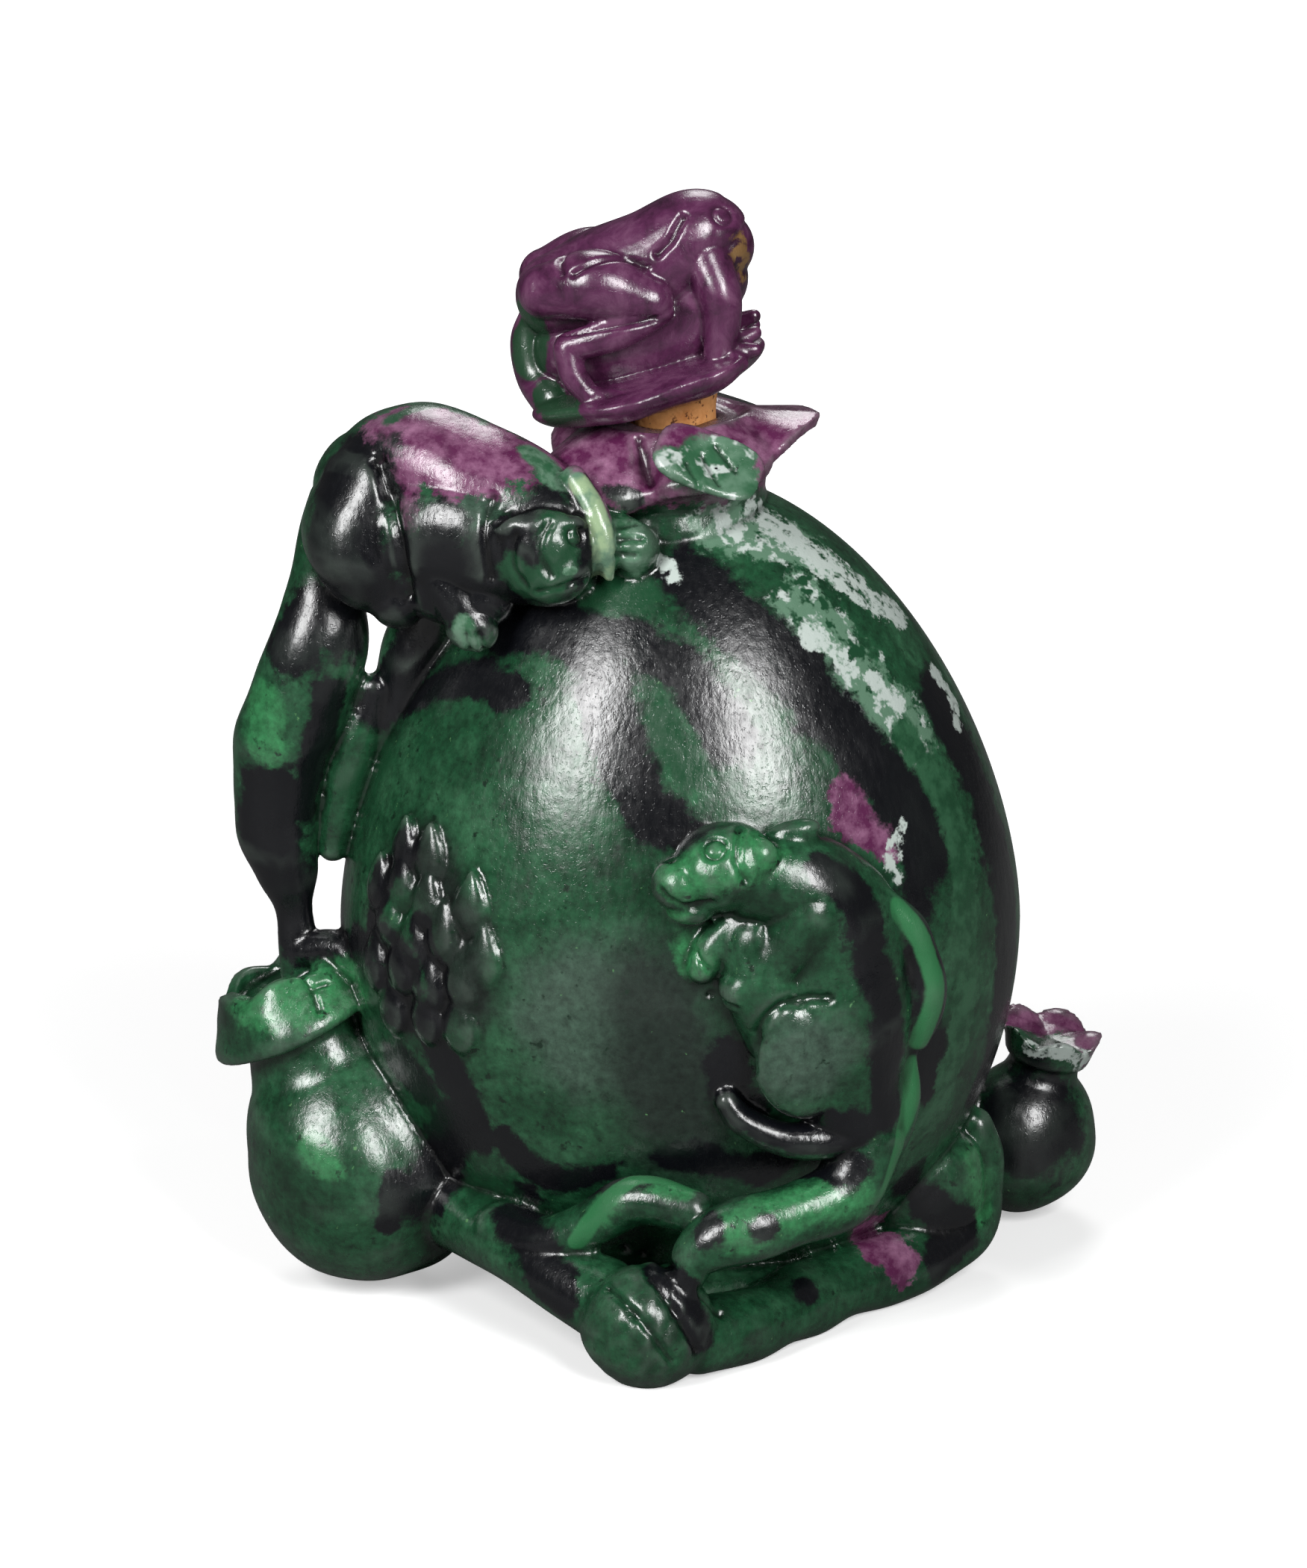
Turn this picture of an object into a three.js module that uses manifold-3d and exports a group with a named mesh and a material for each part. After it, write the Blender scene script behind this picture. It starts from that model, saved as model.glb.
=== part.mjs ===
// A snuff bottle carved from one block of ruby-in-zoisite: an egg-shaped bottle with a petalled collar,
// two squirrels, two pomegranates, a seed cluster and a vine that are all one stone with it.
// Its stopper is a second stone, a frog on a lotus leaf, seated on a cork in the mouth.
// Units are millimetres. X runs to the right, Y to the back and Z up, from the table under the mouth.
import * as THREE from "three";
import { mergeVertices } from "three/addons/utils/BufferGeometryUtils.js";
import Module from "manifold-3d";

const wasm = await Module();
wasm.setup();

// The bottle: an egg, widest at its belt, with a plain hollow and a round mouth.
const belly = { x: 0.6, halfWidth: 23.8, halfDepth: 19.5, belt: 26, rise: 32, drop: 28 };
const shoulder = { power: 1.7, round: 0.55 };
const mouth = { height: 62.2, bore: 3.3, neckTop: 5.0, neckFoot: 7.5, neckHeight: 9 };
const hollow = { wall: 4.8, top: 53, floor: 5.5 };

// The collar: five petals that spread from the mouth and droop over the front of the shoulder.
const collar = {
  petals: 5, firstPetal: 22, valley: 6.2, tip: 10.6, above: 1.3, below: 4, droop: 0.6, lean: 2.2, leanTo: -45,
};

// The pomegranates: belly radius, length stretch, and the open crown with its lobes.
const leftFruit = {
  centre: [-21.9, -1, 8.2], axis: [-0.37, -0.12, 0.92], radius: 8.2, stretch: 1,
  neck: 4.3, flange: 5.7, flangeAt: 10.6, rim: 4.7, rimAt: 14.6, floorAt: 11.2,
  lobes: 5, lobeDepth: 1.6, lobeTurn: 0.6,
};
const rightFruit = {
  centre: [25.4, 9.5, 5.9], axis: [0.22, -0.05, 0.97], radius: 5.2, stretch: 1.12,
  neck: 2.5, flange: 2.7, flangeAt: 6.6, rim: 3.3, rimAt: 9, floorAt: 6.8,
  lobes: 5, lobeDepth: 1, lobeTurn: 0.2,
};

// The seed cluster: rows of pointed seeds from the top down, by angle round the bottle.
const seeds = {
  top: 34.2, rowStep: 2.7, angleStep: 8.6, starts: [-52, -58, -53.5, -57, -51], counts: [2, 4, 4, 4, 3],
  halfWidth: 1.65, halfHeight: 2.2, halfThick: 1.2, lift: 0.1,
};

// The frog's leaf: a thick dish under the frog, tipped up towards its head.
const leaf = {
  centre: [-2, -0.5, 2.5], halfLength: 8.1, halfWidth: 6.9, thick: 1.1, tip: 16, waves: 7, waveDepth: 0.35,
};
const cork = { top: 65.5, bottom: 56.6, topRadius: 3.15, bottomRadius: 2.7, play: 0.3 };

const colours = { stone: 0x24452f, stopper: 0x552a48, cork: 0xc47c3c };

// Turning shapes into solids and back.

function toSolid(geometry) {
  const bare = new THREE.BufferGeometry();
  bare.setAttribute("position", geometry.getAttribute("position").clone());
  bare.setIndex(geometry.index);
  const merged = mergeVertices(bare, 1e-4);
  const corners = merged.index.array;
  const triangles = [];
  for (let i = 0; i < corners.length; i += 3) {
    const [a, b, c] = corners.slice(i, i + 3);
    if (a !== b && b !== c && c !== a) triangles.push(a, b, c);
  }
  return new wasm.Manifold(new wasm.Mesh({
    numProp: 3,
    vertProperties: merged.attributes.position.array,
    triVerts: new Uint32Array(triangles),
  }));
}

function toGeometry(solid) {
  const mesh = solid.getMesh();
  const geometry = new THREE.BufferGeometry();
  geometry.setAttribute("position", new THREE.BufferAttribute(mesh.vertProperties, 3));
  geometry.setIndex(new THREE.BufferAttribute(mesh.triVerts, 1));
  return geometry;
}

function joined(geometries) {
  return geometries.map(toSolid).reduce((whole, next) => whole.add(next));
}

// Moves every vertex of a unit ball: place(turn, fall, at) gets the angle round the pole,
// the angle down from the pole and the vertex itself, which it sets.
function shapedBall(sides, rows, place) {
  const ball = new THREE.SphereGeometry(1, sides, rows);
  const position = ball.getAttribute("position");
  const at = new THREE.Vector3();
  for (let i = 0; i < position.count; i++) {
    at.fromBufferAttribute(position, i);
    const fall = Math.acos(THREE.MathUtils.clamp(at.y, -1, 1));
    place(Math.atan2(at.z, at.x), fall, at);
    position.setXYZ(i, at.x, at.y, at.z);
  }
  return ball;
}

// An ellipsoid with its own half sizes, turned by an Euler angle in degrees.
function lump(centre, halves, turn = [0, 0, 0], sides = 8, rows = 6) {
  const ball = new THREE.SphereGeometry(1, sides, rows);
  ball.scale(...halves);
  const angles = turn.map(THREE.MathUtils.degToRad);
  ball.applyMatrix4(new THREE.Matrix4().makeRotationFromEuler(new THREE.Euler(...angles)));
  ball.translate(...centre);
  return ball;
}

// A tapered limb with round ends along a smooth curve through stations of x, y, z and radius.
// A flat limb is thinned by the share "thin" along the direction "face".
function limb(stations, { sides = 7, steps = 2, capRows = 2, thin = 1, face = [0, 1, 0] } = {}) {
  const bodyRows = steps * (stations.length - 1);
  const rows = bodyRows + 2 * capRows;
  const smooth = (points) => new THREE.CatmullRomCurve3(points, false, "catmullrom");
  const path = smooth(stations.map(([x, y, z]) => new THREE.Vector3(x, y, z)));
  const girth = smooth(stations.map(([, , , radius]) => new THREE.Vector3(radius, 0, 0)));
  const flat = new THREE.Vector3(...face).normalize();
  return shapedBall(sides, rows, (turn, fall, at) => {
    const row = Math.round((fall / Math.PI) * rows);
    const share = THREE.MathUtils.clamp((row - capRows) / bodyRows, 0, 1);
    const tangent = path.getTangent(share);
    const side = new THREE.Vector3().crossVectors(tangent, flat).normalize();
    const out = new THREE.Vector3().crossVectors(tangent, side);
    const past = row < capRows ? capRows - row : Math.min(0, rows - capRows - row);
    const capAngle = (Math.abs(past) / capRows) * (Math.PI / 2);
    const radius = girth.getPoint(share).x;
    const ring = row === 0 || row === rows ? 0 : radius * Math.cos(capAngle);
    const offset = side.multiplyScalar(ring * Math.cos(turn)).addScaledVector(out, ring * Math.sin(turn));
    offset.addScaledVector(flat, -offset.dot(flat) * (1 - thin));
    at.copy(path.getPoint(share));
    at.addScaledVector(tangent, -Math.sign(past) * radius * Math.sin(capAngle)).add(offset);
  });
}

// The bottle's own surface.

// How wide the bottle is at a height, as a share of its belt.
function bellyShare(height) {
  const above = height - belly.belt;
  if (above < 0) return Math.sqrt(Math.max(0, 1 - (above / belly.drop) ** 2));
  return Math.max(0, 1 - Math.min(1, above / belly.rise) ** shoulder.power) ** shoulder.round;
}

// A point on the bottle by its angle from the front, towards +X, its height and its lift off the wall.
function onBottle(angle, height, lift = 0) {
  const turn = THREE.MathUtils.degToRad(angle);
  const share = bellyShare(height);
  return [
    belly.x + (belly.halfWidth * share + lift) * Math.sin(turn),
    -(belly.halfDepth * share + lift) * Math.cos(turn),
    height,
  ];
}

function bottleEgg() {
  return shapedBall(34, 20, (turn, fall, at) => {
    const reach = Math.cos(fall) * (fall < Math.PI / 2 ? belly.rise : belly.drop);
    const share = fall === 0 ? 0 : bellyShare(belly.belt + reach);
    at.set(
      belly.x + belly.halfWidth * share * Math.cos(turn),
      -belly.halfDepth * share * Math.sin(turn),
      belly.belt + reach,
    );
  });
}

function hollowEgg() {
  return shapedBall(20, 10, (turn, fall, at) => {
    const reach = Math.cos(fall) * (fall < Math.PI / 2 ? hollow.top - belly.belt : belly.belt - hollow.floor);
    const share = Math.sin(fall);
    at.set(
      belly.x + (belly.halfWidth - hollow.wall) * share * Math.cos(turn),
      -(belly.halfDepth - hollow.wall) * share * Math.sin(turn),
      belly.belt + reach,
    );
  });
}

// An upright round bar between two heights.
function bar(topRadius, footRadius, foot, top, sides) {
  const shape = new THREE.CylinderGeometry(topRadius, footRadius, top - foot, sides);
  shape.rotateX(Math.PI / 2);
  shape.translate(0, 0, (top + foot) / 2);
  return shape;
}

// A disc whose rim swings between valley and tip, once for each petal, and sinks towards the front.
function petalCollar() {
  return shapedBall(35, 6, (turn, fall, at) => {
    const angle = 90 - THREE.MathUtils.radToDeg(turn);
    const swing = 0.5 + 0.5 * Math.cos(THREE.MathUtils.degToRad(collar.petals * (angle - collar.firstPetal)));
    const reach = Math.sin(fall);
    const radius = reach * (collar.valley + (collar.tip - collar.valley) * swing ** 0.8);
    const droop = collar.droop + collar.lean * Math.cos(THREE.MathUtils.degToRad(angle - collar.leanTo));
    const side = fall < Math.PI / 2 ? collar.above : collar.below;
    const height = mouth.height - collar.above + side * Math.cos(fall) - droop * reach ** 3;
    at.set(radius * Math.cos(turn), -radius * Math.sin(turn), height);
  });
}

// The pomegranates.

// A fruit turned about its own axis, with an open crown whose rim rises in lobes.
function pomegranate(fruit) {
  const profile = [];
  const roundSteps = 6;
  const neckFall = Math.asin(fruit.neck / fruit.radius);
  for (let i = 0; i <= roundSteps; i++) {
    const fall = Math.PI - (i / roundSteps) * (Math.PI - neckFall);
    profile.push([fruit.radius * Math.sin(fall), fruit.radius * fruit.stretch * Math.cos(fall)]);
  }
  profile[0][0] = 0;
  profile.push([fruit.neck, (fruit.radius * fruit.stretch + fruit.flangeAt) / 2 - 0.4]);
  profile.push([fruit.flange, fruit.flangeAt]);
  profile.push([fruit.flange * 0.3 + fruit.rim * 0.7, (fruit.flangeAt + fruit.rimAt) / 2]);
  profile.push([fruit.rim, fruit.rimAt]);
  profile.push([fruit.rim * 0.72, fruit.rimAt - 0.2]);
  profile.push([fruit.neck * 0.55, fruit.floorAt]);
  profile.push([0, fruit.floorAt]);
  const shape = new THREE.LatheGeometry(profile.map(([r, h]) => new THREE.Vector2(r, h)), 15);
  const position = shape.getAttribute("position");
  for (let i = 0; i < position.count; i++) {
    const turn = Math.atan2(position.getZ(i), position.getX(i));
    const rise = THREE.MathUtils.smoothstep(position.getY(i), fruit.floorAt, fruit.rimAt);
    const lobe = 0.5 + 0.5 * Math.cos(fruit.lobes * turn + fruit.lobeTurn);
    position.setY(i, position.getY(i) - rise * fruit.lobeDepth * (1 - lobe ** 0.6));
  }
  const upright = new THREE.Vector3(0, 1, 0);
  const axis = new THREE.Vector3(...fruit.axis).normalize();
  shape.applyQuaternion(new THREE.Quaternion().setFromUnitVectors(upright, axis));
  shape.translate(...fruit.centre);
  return shape;
}

// One seed: a ball drawn up to a point, laid flat against the bottle.
function seed(angle, height) {
  const turn = THREE.MathUtils.degToRad(angle);
  const [x, y, z] = onBottle(angle, height, seeds.lift);
  const shape = shapedBall(6, 3, (around, fall, at) => {
    const waist = Math.sin(fall) * (1 - 0.25 * Math.cos(fall));
    at.set(
      seeds.halfWidth * waist * Math.cos(around),
      -seeds.halfThick * waist * Math.sin(around),
      seeds.halfHeight * (Math.cos(fall) + 0.15 * Math.cos(fall) ** 3),
    );
  });
  shape.rotateZ(turn);
  shape.translate(x, y, z);
  return shape;
}

function seedCluster() {
  return seeds.starts.flatMap((start, row) =>
    Array.from({ length: seeds.counts[row] }, (_, i) =>
      seed(start + i * seeds.angleStep, seeds.top - row * seeds.rowStep)));
}

// The squirrel on the left shoulder, its head laid on the front of the bottle.
function upperSquirrel() {
  const torso = limb([
    [-20.8, -1.5, 57.8, 3.7], [-17.5, -2.3, 59.1, 4.4], [-14, -4, 58.2, 4.5],
    [-10.6, -5.6, 57.6, 3.8], [-8.4, -7.2, 56, 3.3],
  ], { sides: 9 });
  const haunch = limb([
    [-21, -3, 58, 3], [-21.9, -4, 55.2, 3.3], [-20.8, -5, 52, 2.9], [-19.4, -5.8, 50.4, 1.7],
  ]);
  const chest = lump([-14.4, -6.6, 53.6], [3.9, 3.4, 3.7], [0, 20, 0]);
  const flank = lump([-17.6, -4.4, 54], [3.6, 3.4, 4.4]);
  const head = lump([-8.5, -8.6, 54.8], [3.7, 3.2, 3.4], [0, 15, 0], 10, 8);
  const muzzle = lump([-8.6, -11.2, 53.6], [2, 1.5, 1.6]);
  const brow = lump([-8.4, -10, 57], [2.7, 1.2, 0.9]);
  const leftEar = lump([-12, -9.8, 56.3], [1.1, 0.9, 1.5], [0, -20, 0], 7, 5);
  const rightEar = limb([
    [-6.7, -7.6, 59.8, 0.85], [-5.3, -9, 57.7, 0.9], [-4.5, -9.8, 55.6, 0.75],
    [-4.3, -9.6, 53.4, 0.6],
  ]);
  const leftArm = limb([[-15.2, -8, 52.6, 1.9], [-14.1, -8.8, 50.4, 1.5], [-13.4, -8.8, 49, 1.2]]);
  const rightArm = limb([
    [-6.8, -6.6, 56.6, 1.8], [-4.4, -7.4, 55.6, 1.6], [-2.7, -8, 54.8, 1.7],
  ], { sides: 8 });
  return [torso, haunch, chest, flank, head, muzzle, brow, leftEar, rightEar, leftArm, rightArm];
}

// Its tail hangs clear of the bottle down to the left fruit, and a web ties it back to the wall.
function upperTail() {
  const tail = limb([
    [-22.6, -0.5, 56, 2.2], [-23.9, -1, 51.5, 2.5], [-24.2, -1.8, 47.3, 3.2], [-25.2, -2, 43.4, 3.7],
    [-27, -2, 38.6, 3.3],
    [-27.4, -2, 33.6, 2.9], [-26.9, -2, 29.8, 2.1], [-26.4, -2, 26.8, 1.35], [-25.8, -2.4, 22, 1.5],
    [-25.4, -2.4, 18, 2],
  ], { sides: 8, steps: 1, thin: 0.8 });
  const web = limb([
    [-20.6, -2, 43, 1.25], [-22, -2, 38.6, 1.5], [-23.1, -2, 34.4, 1.35], [-23.5, -2, 31.6, 1],
  ]);
  const stem = limb([[-25.4, -2.6, 24.2, 1.2], [-23.4, -3.4, 24.6, 1.3], [-20.8, -5, 23.4, 1.5]]);
  return [tail, web, stem];
}

// The squirrel that climbs the front on the right, looking left, with its tail swept round the foot.
function lowerSquirrel() {
  const torso = limb([
    [5.8, -19.2, 35, 2.9], [9.2, -18.2, 34, 3.9], [11.2, -17.2, 29.6, 4.9], [11.5, -17, 23, 5.1],
    [13, -16.6, 15.8, 3.2],
  ], { sides: 9, thin: 0.8, face: [0.45, -0.9, 0] });
  const head = lump([3.4, -19.6, 36], [3.5, 2.9, 3.1], [0, -20, 0], 10, 7);
  const muzzle = lump([0.6, -20.2, 35], [2.1, 1.9, 2]);
  const jaw = lump([1.2, -20, 33.2], [1.8, 1.6, 1.2]);
  const leftEar = lump([5.7, -20.7, 37.2], [1.3, 1, 1.2], [0, 0, 0], 7, 5);
  const rightEar = lump([8.2, -18.4, 38.2], [2, 1.1, 1], [0, -15, 0], 7, 5);
  const arm = limb([[9.2, -20, 32.6, 2.2], [6.7, -21, 29.8, 1.9], [4.6, -20.8, 27.6, 1.7]]);
  const farPaw = limb([[4.6, -19.4, 31.8, 1.3], [2.6, -19.8, 30.4, 1.2], [1.8, -19.6, 28.8, 1]]);
  const thigh = lump([9.2, -19.8, 23], [4.2, 3.2, 4.6], [0, 10, 0], 12, 8);
  const shank = limb([
    [13.2, -17.8, 19.6, 1.4], [11.7, -18.4, 16.6, 1.3], [8.1, -19.2, 16.2, 1.3],
    [5, -19.2, 17.6, 1.1], [3.7, -19.2, 19.2, 0.8],
  ]);
  const crest = limb([
    [14.2, -17.2, 33, 0.8], [16.8, -16.4, 30.2, 1], [17.9, -15.8, 26.4, 1.1], [17.2, -16, 22.6, 0.8],
  ]);
  const lowCrest = limb([[16.4, -16.2, 21.8, 0.8], [16.2, -16, 18, 1.1], [14.8, -16.2, 13.4, 1]]);
  const tail = limb([
    [13.4, -16.8, 15.6, 2.6], [11.6, -18.6, 12.3, 2.4], [7.6, -20.4, 11.3, 2.3],
    [4, -21.6, 10.5, 2.1], [1.5, -22, 8.9, 1.6], [0.9, -22.4, 6.6, 1.2],
  ], { sides: 8 });
  return [torso, head, muzzle, jaw, leftEar, rightEar, arm, farPaw, thigh, shank, crest, lowCrest, tail];
}

// The vine round the foot: a bud in front, a runner along each side, and ribbon leaves.
function footVine() {
  const bud = lump([-1.6, -21.6, 3.9], [4.5, 4, 4.5], [0, 0, 0], 12, 8);
  const rightRunner = limb([
    [1.5, -20.6, 2.4, 2.6], [6, -16.8, 2.2, 2.5], [10.4, -11.6, 2.2, 2.5], [15, -7.6, 2.3, 2.5],
    [18.8, -4.4, 2.8, 2.4],
    [21.3, -1.4, 4.6, 2.1], [22, -1, 8, 1.7], [21.4, -1.4, 10.8, 1.2],
  ], { sides: 8 });
  const leftRunner = limb([
    [-17.5, -5, 7.4, 3.2], [-13.6, -9.5, 6.7, 3], [-10.6, -14, 6.4, 2.6], [-7.2, -17.6, 5.7, 2.6],
    [-3.8, -20, 4.7, 3],
  ], { sides: 8 });
  const ribbon = limb([
    [-11.8, -13.6, 7.8, 1.8], [-8.6, -16.4, 8, 1.9], [-5.4, -18, 9.8, 1.8], [-2.4, -19, 11.8, 1.7],
    [1.4, -20.2, 11.6, 1.3],
  ], { sides: 8 });
  const heel = lump([3.5, -6, 1], [12, 9, 4.5], [0, 0, 25], 10, 6);
  const fruitStem = limb([[15, 6, 10, 3], [20, 8.4, 8.4, 2.6], [23.6, 9.4, 7.4, 2.4]], { sides: 8 });
  return [bud, rightRunner, leftRunner, ribbon, heel, fruitStem];
}

// The plain back: one runner from the right fruit with two laid leaves.
function backVine() {
  const runner = limb([
    [...onBottle(118, 9, 1.2), 1.6], [...onBottle(140, 14, 0.6), 1.4], [...onBottle(165, 22, 0.4), 1.3],
    [...onBottle(190, 28, 0.3), 1.1], [...onBottle(212, 36, 0.2), 0.8],
  ]);
  const leaves = [[158, 31, 35], [205, 22, -30]].map(([angle, height, roll]) => {
    const blade = lump([0, 0, 0], [2.6, 0.9, 4.8], [0, roll, 0], 9, 7);
    blade.rotateZ(THREE.MathUtils.degToRad(angle));
    blade.translate(...onBottle(angle, height, 0.1));
    return blade;
  });
  return [runner, ...leaves];
}

function carvedBottle() {
  const neck = bar(mouth.neckTop, mouth.neckFoot, mouth.height - mouth.neckHeight, mouth.height - 0.4, 24);
  const stone = joined([
    bottleEgg(), neck, petalCollar(), pomegranate(leftFruit), pomegranate(rightFruit), ...seedCluster(),
    ...upperSquirrel(), ...upperTail(), ...lowerSquirrel(), ...footVine(), ...backVine(),
  ]);
  const table = new THREE.BoxGeometry(120, 120, 20);
  table.translate(0, 0, -10);
  const bore = bar(mouth.bore, mouth.bore, hollow.top - 8, mouth.height + 8, 24);
  return toGeometry(stone.subtract(toSolid(hollowEgg())).subtract(toSolid(bore)).subtract(toSolid(table)));
}

// The stopper, in its own frame with the mouth's rim at Z 0.

// The lotus leaf: a flat dish with a softly waved rim, tipped up towards the frog's head.
function lotusLeaf() {
  const dish = shapedBall(28, 6, (turn, fall, at) => {
    const reach = Math.sin(fall) * (1 + 0.04 * Math.cos(leaf.waves * turn));
    const wave = leaf.waveDepth * reach ** 3 * Math.sin(leaf.waves * turn);
    at.set(
      leaf.halfLength * reach * Math.cos(turn),
      -leaf.halfWidth * reach * Math.sin(turn),
      leaf.thick * Math.cos(fall) + wave,
    );
  });
  dish.rotateY(-THREE.MathUtils.degToRad(leaf.tip));
  dish.translate(...leaf.centre);
  return dish;
}

// One side's legs: side is -1 towards the front and 1 towards the back.
function frogLegs(side) {
  const turned = (stations) => stations.map(([x, y, z, r]) => [x, side * y, z, r]);
  const thigh = limb(turned([[-7.8, 2.4, 8.6, 1.9], [-5.1, 3.6, 9.2, 2.3], [-1.6, 3.9, 8.3, 1.7]]));
  const shank = limb(turned([
    [-0.9, 4.4, 7.4, 1.2], [-4, 4.9, 6.7, 1.15], [-7.2, 4.7, 6, 1.05],
  ]), { sides: 6, steps: 1 });
  const heel = limb(turned([
    [-7.1, 4.8, 5.6, 1], [-6.3, 5.2, 3.8, 0.85], [-5.4, 5.4, 2.6, 0.8],
  ]), { sides: 6, steps: 1 });
  const arm = limb(turned([[2.2, 2, 10.6, 1.5], [3.7, 3.1, 8.2, 1.3], [3.2, 3.6, 5.2, 1]]), { sides: 6 });
  const hindToes = [[-2.9, 5.9, 2.5], [-3.5, 6.3, 1.9], [-4.6, 6.4, 1.5]].map(([x, y, z]) =>
    limb(turned([[-5.7, 5.2, 2.9, 0.6], [x, y, z, 0.45]]), { sides: 5, steps: 1, capRows: 1 }));
  const fingers = [[5.7, 2.5, 5.3], [5.6, 3.7, 4.9], [4.6, 4.7, 4.5]].map(([x, y, z]) =>
    limb(turned([[3.2, 3.5, 5, 0.75], [x, y, z, 0.5]]), { sides: 5, steps: 1, capRows: 1 }));
  const eye = lump([3, side * 2, 14.4], [0.8, 0.8, 0.8], [0, 0, 0], 6, 4);
  return [thigh, shank, heel, arm, ...hindToes, ...fingers, eye];
}

function frog() {
  const body = limb([
    [-7.8, 0, 7.4, 2.7], [-5, 0, 8.6, 3.4], [-1, 0, 10.2, 3.6], [1.8, 0, 12.5, 3.3],
    [3.5, 0, 12.3, 2.1],
  ], { sides: 9 });
  const belly = limb([[2.2, 0, 10.4, 2.5], [0.6, 0, 6.4, 3], [-3, 0, 4.4, 3]]);
  const curl = limb([[-8, -1, 1.2, 1.6], [-9.2, 0.4, 2.6, 1.5], [-9.7, 1, 4.8, 1.4], [-9.3, 1, 6.6, 1.2]]);
  return [body, belly, curl, ...frogLegs(-1), ...frogLegs(1)];
}

// The cork fills the bore with a little play, and its head is cut on a slant to bed under the leaf.
function corkPlug() {
  const plug = toSolid(bar(cork.topRadius, cork.bottomRadius, cork.bottom, cork.top, 20));
  const slant = new THREE.BoxGeometry(30, 30, 10);
  slant.translate(0, 0, 5 - leaf.thick - cork.play);
  slant.rotateY(-THREE.MathUtils.degToRad(leaf.tip));
  slant.translate(leaf.centre[0], leaf.centre[1], leaf.centre[2] + mouth.height);
  return toGeometry(plug.subtract(toSolid(slant)));
}

function finish(colour, roughness) {
  return new THREE.MeshStandardMaterial({ color: colour, roughness, metalness: 0 });
}

function named(name, geometry, material) {
  const mesh = new THREE.Mesh(geometry, material);
  mesh.name = name;
  return mesh;
}

const snuffBottle = new THREE.Group();
snuffBottle.add(named("bottle", carvedBottle(), finish(colours.stone, 0.3)));
snuffBottle.add(named("cork", corkPlug(), finish(colours.cork, 0.7)));

const stopper = new THREE.Group();
stopper.position.set(0, 0, mouth.height);
stopper.add(named("frog_stopper", toGeometry(joined([lotusLeaf(), ...frog()])), finish(colours.stopper, 0.35)));
snuffBottle.add(stopper);

export default snuffBottle;
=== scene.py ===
import math

import bpy
import numpy as np
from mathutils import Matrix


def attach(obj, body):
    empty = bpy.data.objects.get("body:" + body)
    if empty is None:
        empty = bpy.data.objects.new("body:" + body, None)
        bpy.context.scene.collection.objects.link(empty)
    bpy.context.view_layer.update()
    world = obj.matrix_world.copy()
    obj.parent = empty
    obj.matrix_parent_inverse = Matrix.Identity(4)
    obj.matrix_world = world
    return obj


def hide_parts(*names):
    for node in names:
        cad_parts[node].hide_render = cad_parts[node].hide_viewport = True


# Carved ruby-in-zoisite snuff bottle with a frog stopper.
# Shapes are worked out in millimetres and go into the meshes in metres.
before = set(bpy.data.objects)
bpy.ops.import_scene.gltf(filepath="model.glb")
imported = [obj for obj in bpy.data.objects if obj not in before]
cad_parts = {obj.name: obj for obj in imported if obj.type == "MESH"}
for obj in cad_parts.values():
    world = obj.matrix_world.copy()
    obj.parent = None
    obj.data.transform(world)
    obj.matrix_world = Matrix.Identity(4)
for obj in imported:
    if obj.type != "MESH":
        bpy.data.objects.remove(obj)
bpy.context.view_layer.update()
print("frame loaded:", ", ".join(sorted(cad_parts)))


# The view: a long lens, a little above the table, straight at the carved front.
view = {
    "target": (-1.274, 0.0, 35.54), "elevation": 18.0, "distance": 500.0,
    "pixel": 0.052, "frame": (1751, 2100), "sensor": 36.0, "clip": 0.01,
}
millimetre = 0.001

viewUp = math.radians(view["elevation"])
viewTarget = np.array(view["target"])
viewBack = np.array([0.0, -math.cos(viewUp), math.sin(viewUp)])
viewRise = np.array([0.0, math.sin(viewUp), math.cos(viewUp)])


# Where points land in the photograph's frame, and how far off they are.
def inFrame(points):
    away = points - viewTarget
    depth = view["distance"] - away @ viewBack
    pull = view["distance"] / view["pixel"] / depth
    across = view["frame"][0] / 2 + away[:, 0] * pull
    down = view["frame"][1] / 2 - (away @ viewRise) * pull
    return across, down, depth


def linked(name, data):
    thing = bpy.data.objects.new(name, data)
    bpy.context.collection.objects.link(thing)
    return thing


def makeCamera():
    data = bpy.data.cameras.new("camera")
    data.sensor_width = view["sensor"]
    data.lens = view["distance"] / view["pixel"] * view["sensor"] / view["frame"][1]
    data.clip_start = view["clip"]
    camera = linked("camera", data)
    camera.location = (viewTarget + viewBack * view["distance"]) * millimetre
    camera.rotation_euler = (math.pi / 2 - viewUp, 0.0, 0.0)
    bpy.context.scene.camera = camera


makeCamera()
print("camera set")


# Shape helpers. A grid is rows by sides by 3, closed round its sides.

def unit(vectors):
    return vectors / np.maximum(np.linalg.norm(vectors, axis=-1, keepdims=True), 1e-12)


# Each span of the path blends four neighbouring stations by cubic weights.
def smoothPath(stations, steps):
    at = np.asarray(stations, float)
    ends = np.vstack([2 * at[0] - at[1], at, 2 * at[-1] - at[-2]])
    spans = len(at) - 1
    along = np.linspace(0, spans, spans * steps + 1)
    first = np.minimum(along.astype(int), spans - 1)
    t = (along - first)[:, None]
    a, b, c, d = ends[first], ends[first + 1], ends[first + 2], ends[first + 3]
    return 0.5 * (2 * b + (c - a) * t + (2 * a - 5 * b + 4 * c - d) * t**2 + (3 * b - a - 3 * c + d) * t**3)


def roundTurn(sides):
    return np.linspace(0, 2 * math.pi, sides, endpoint=False)[None, :]


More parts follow.
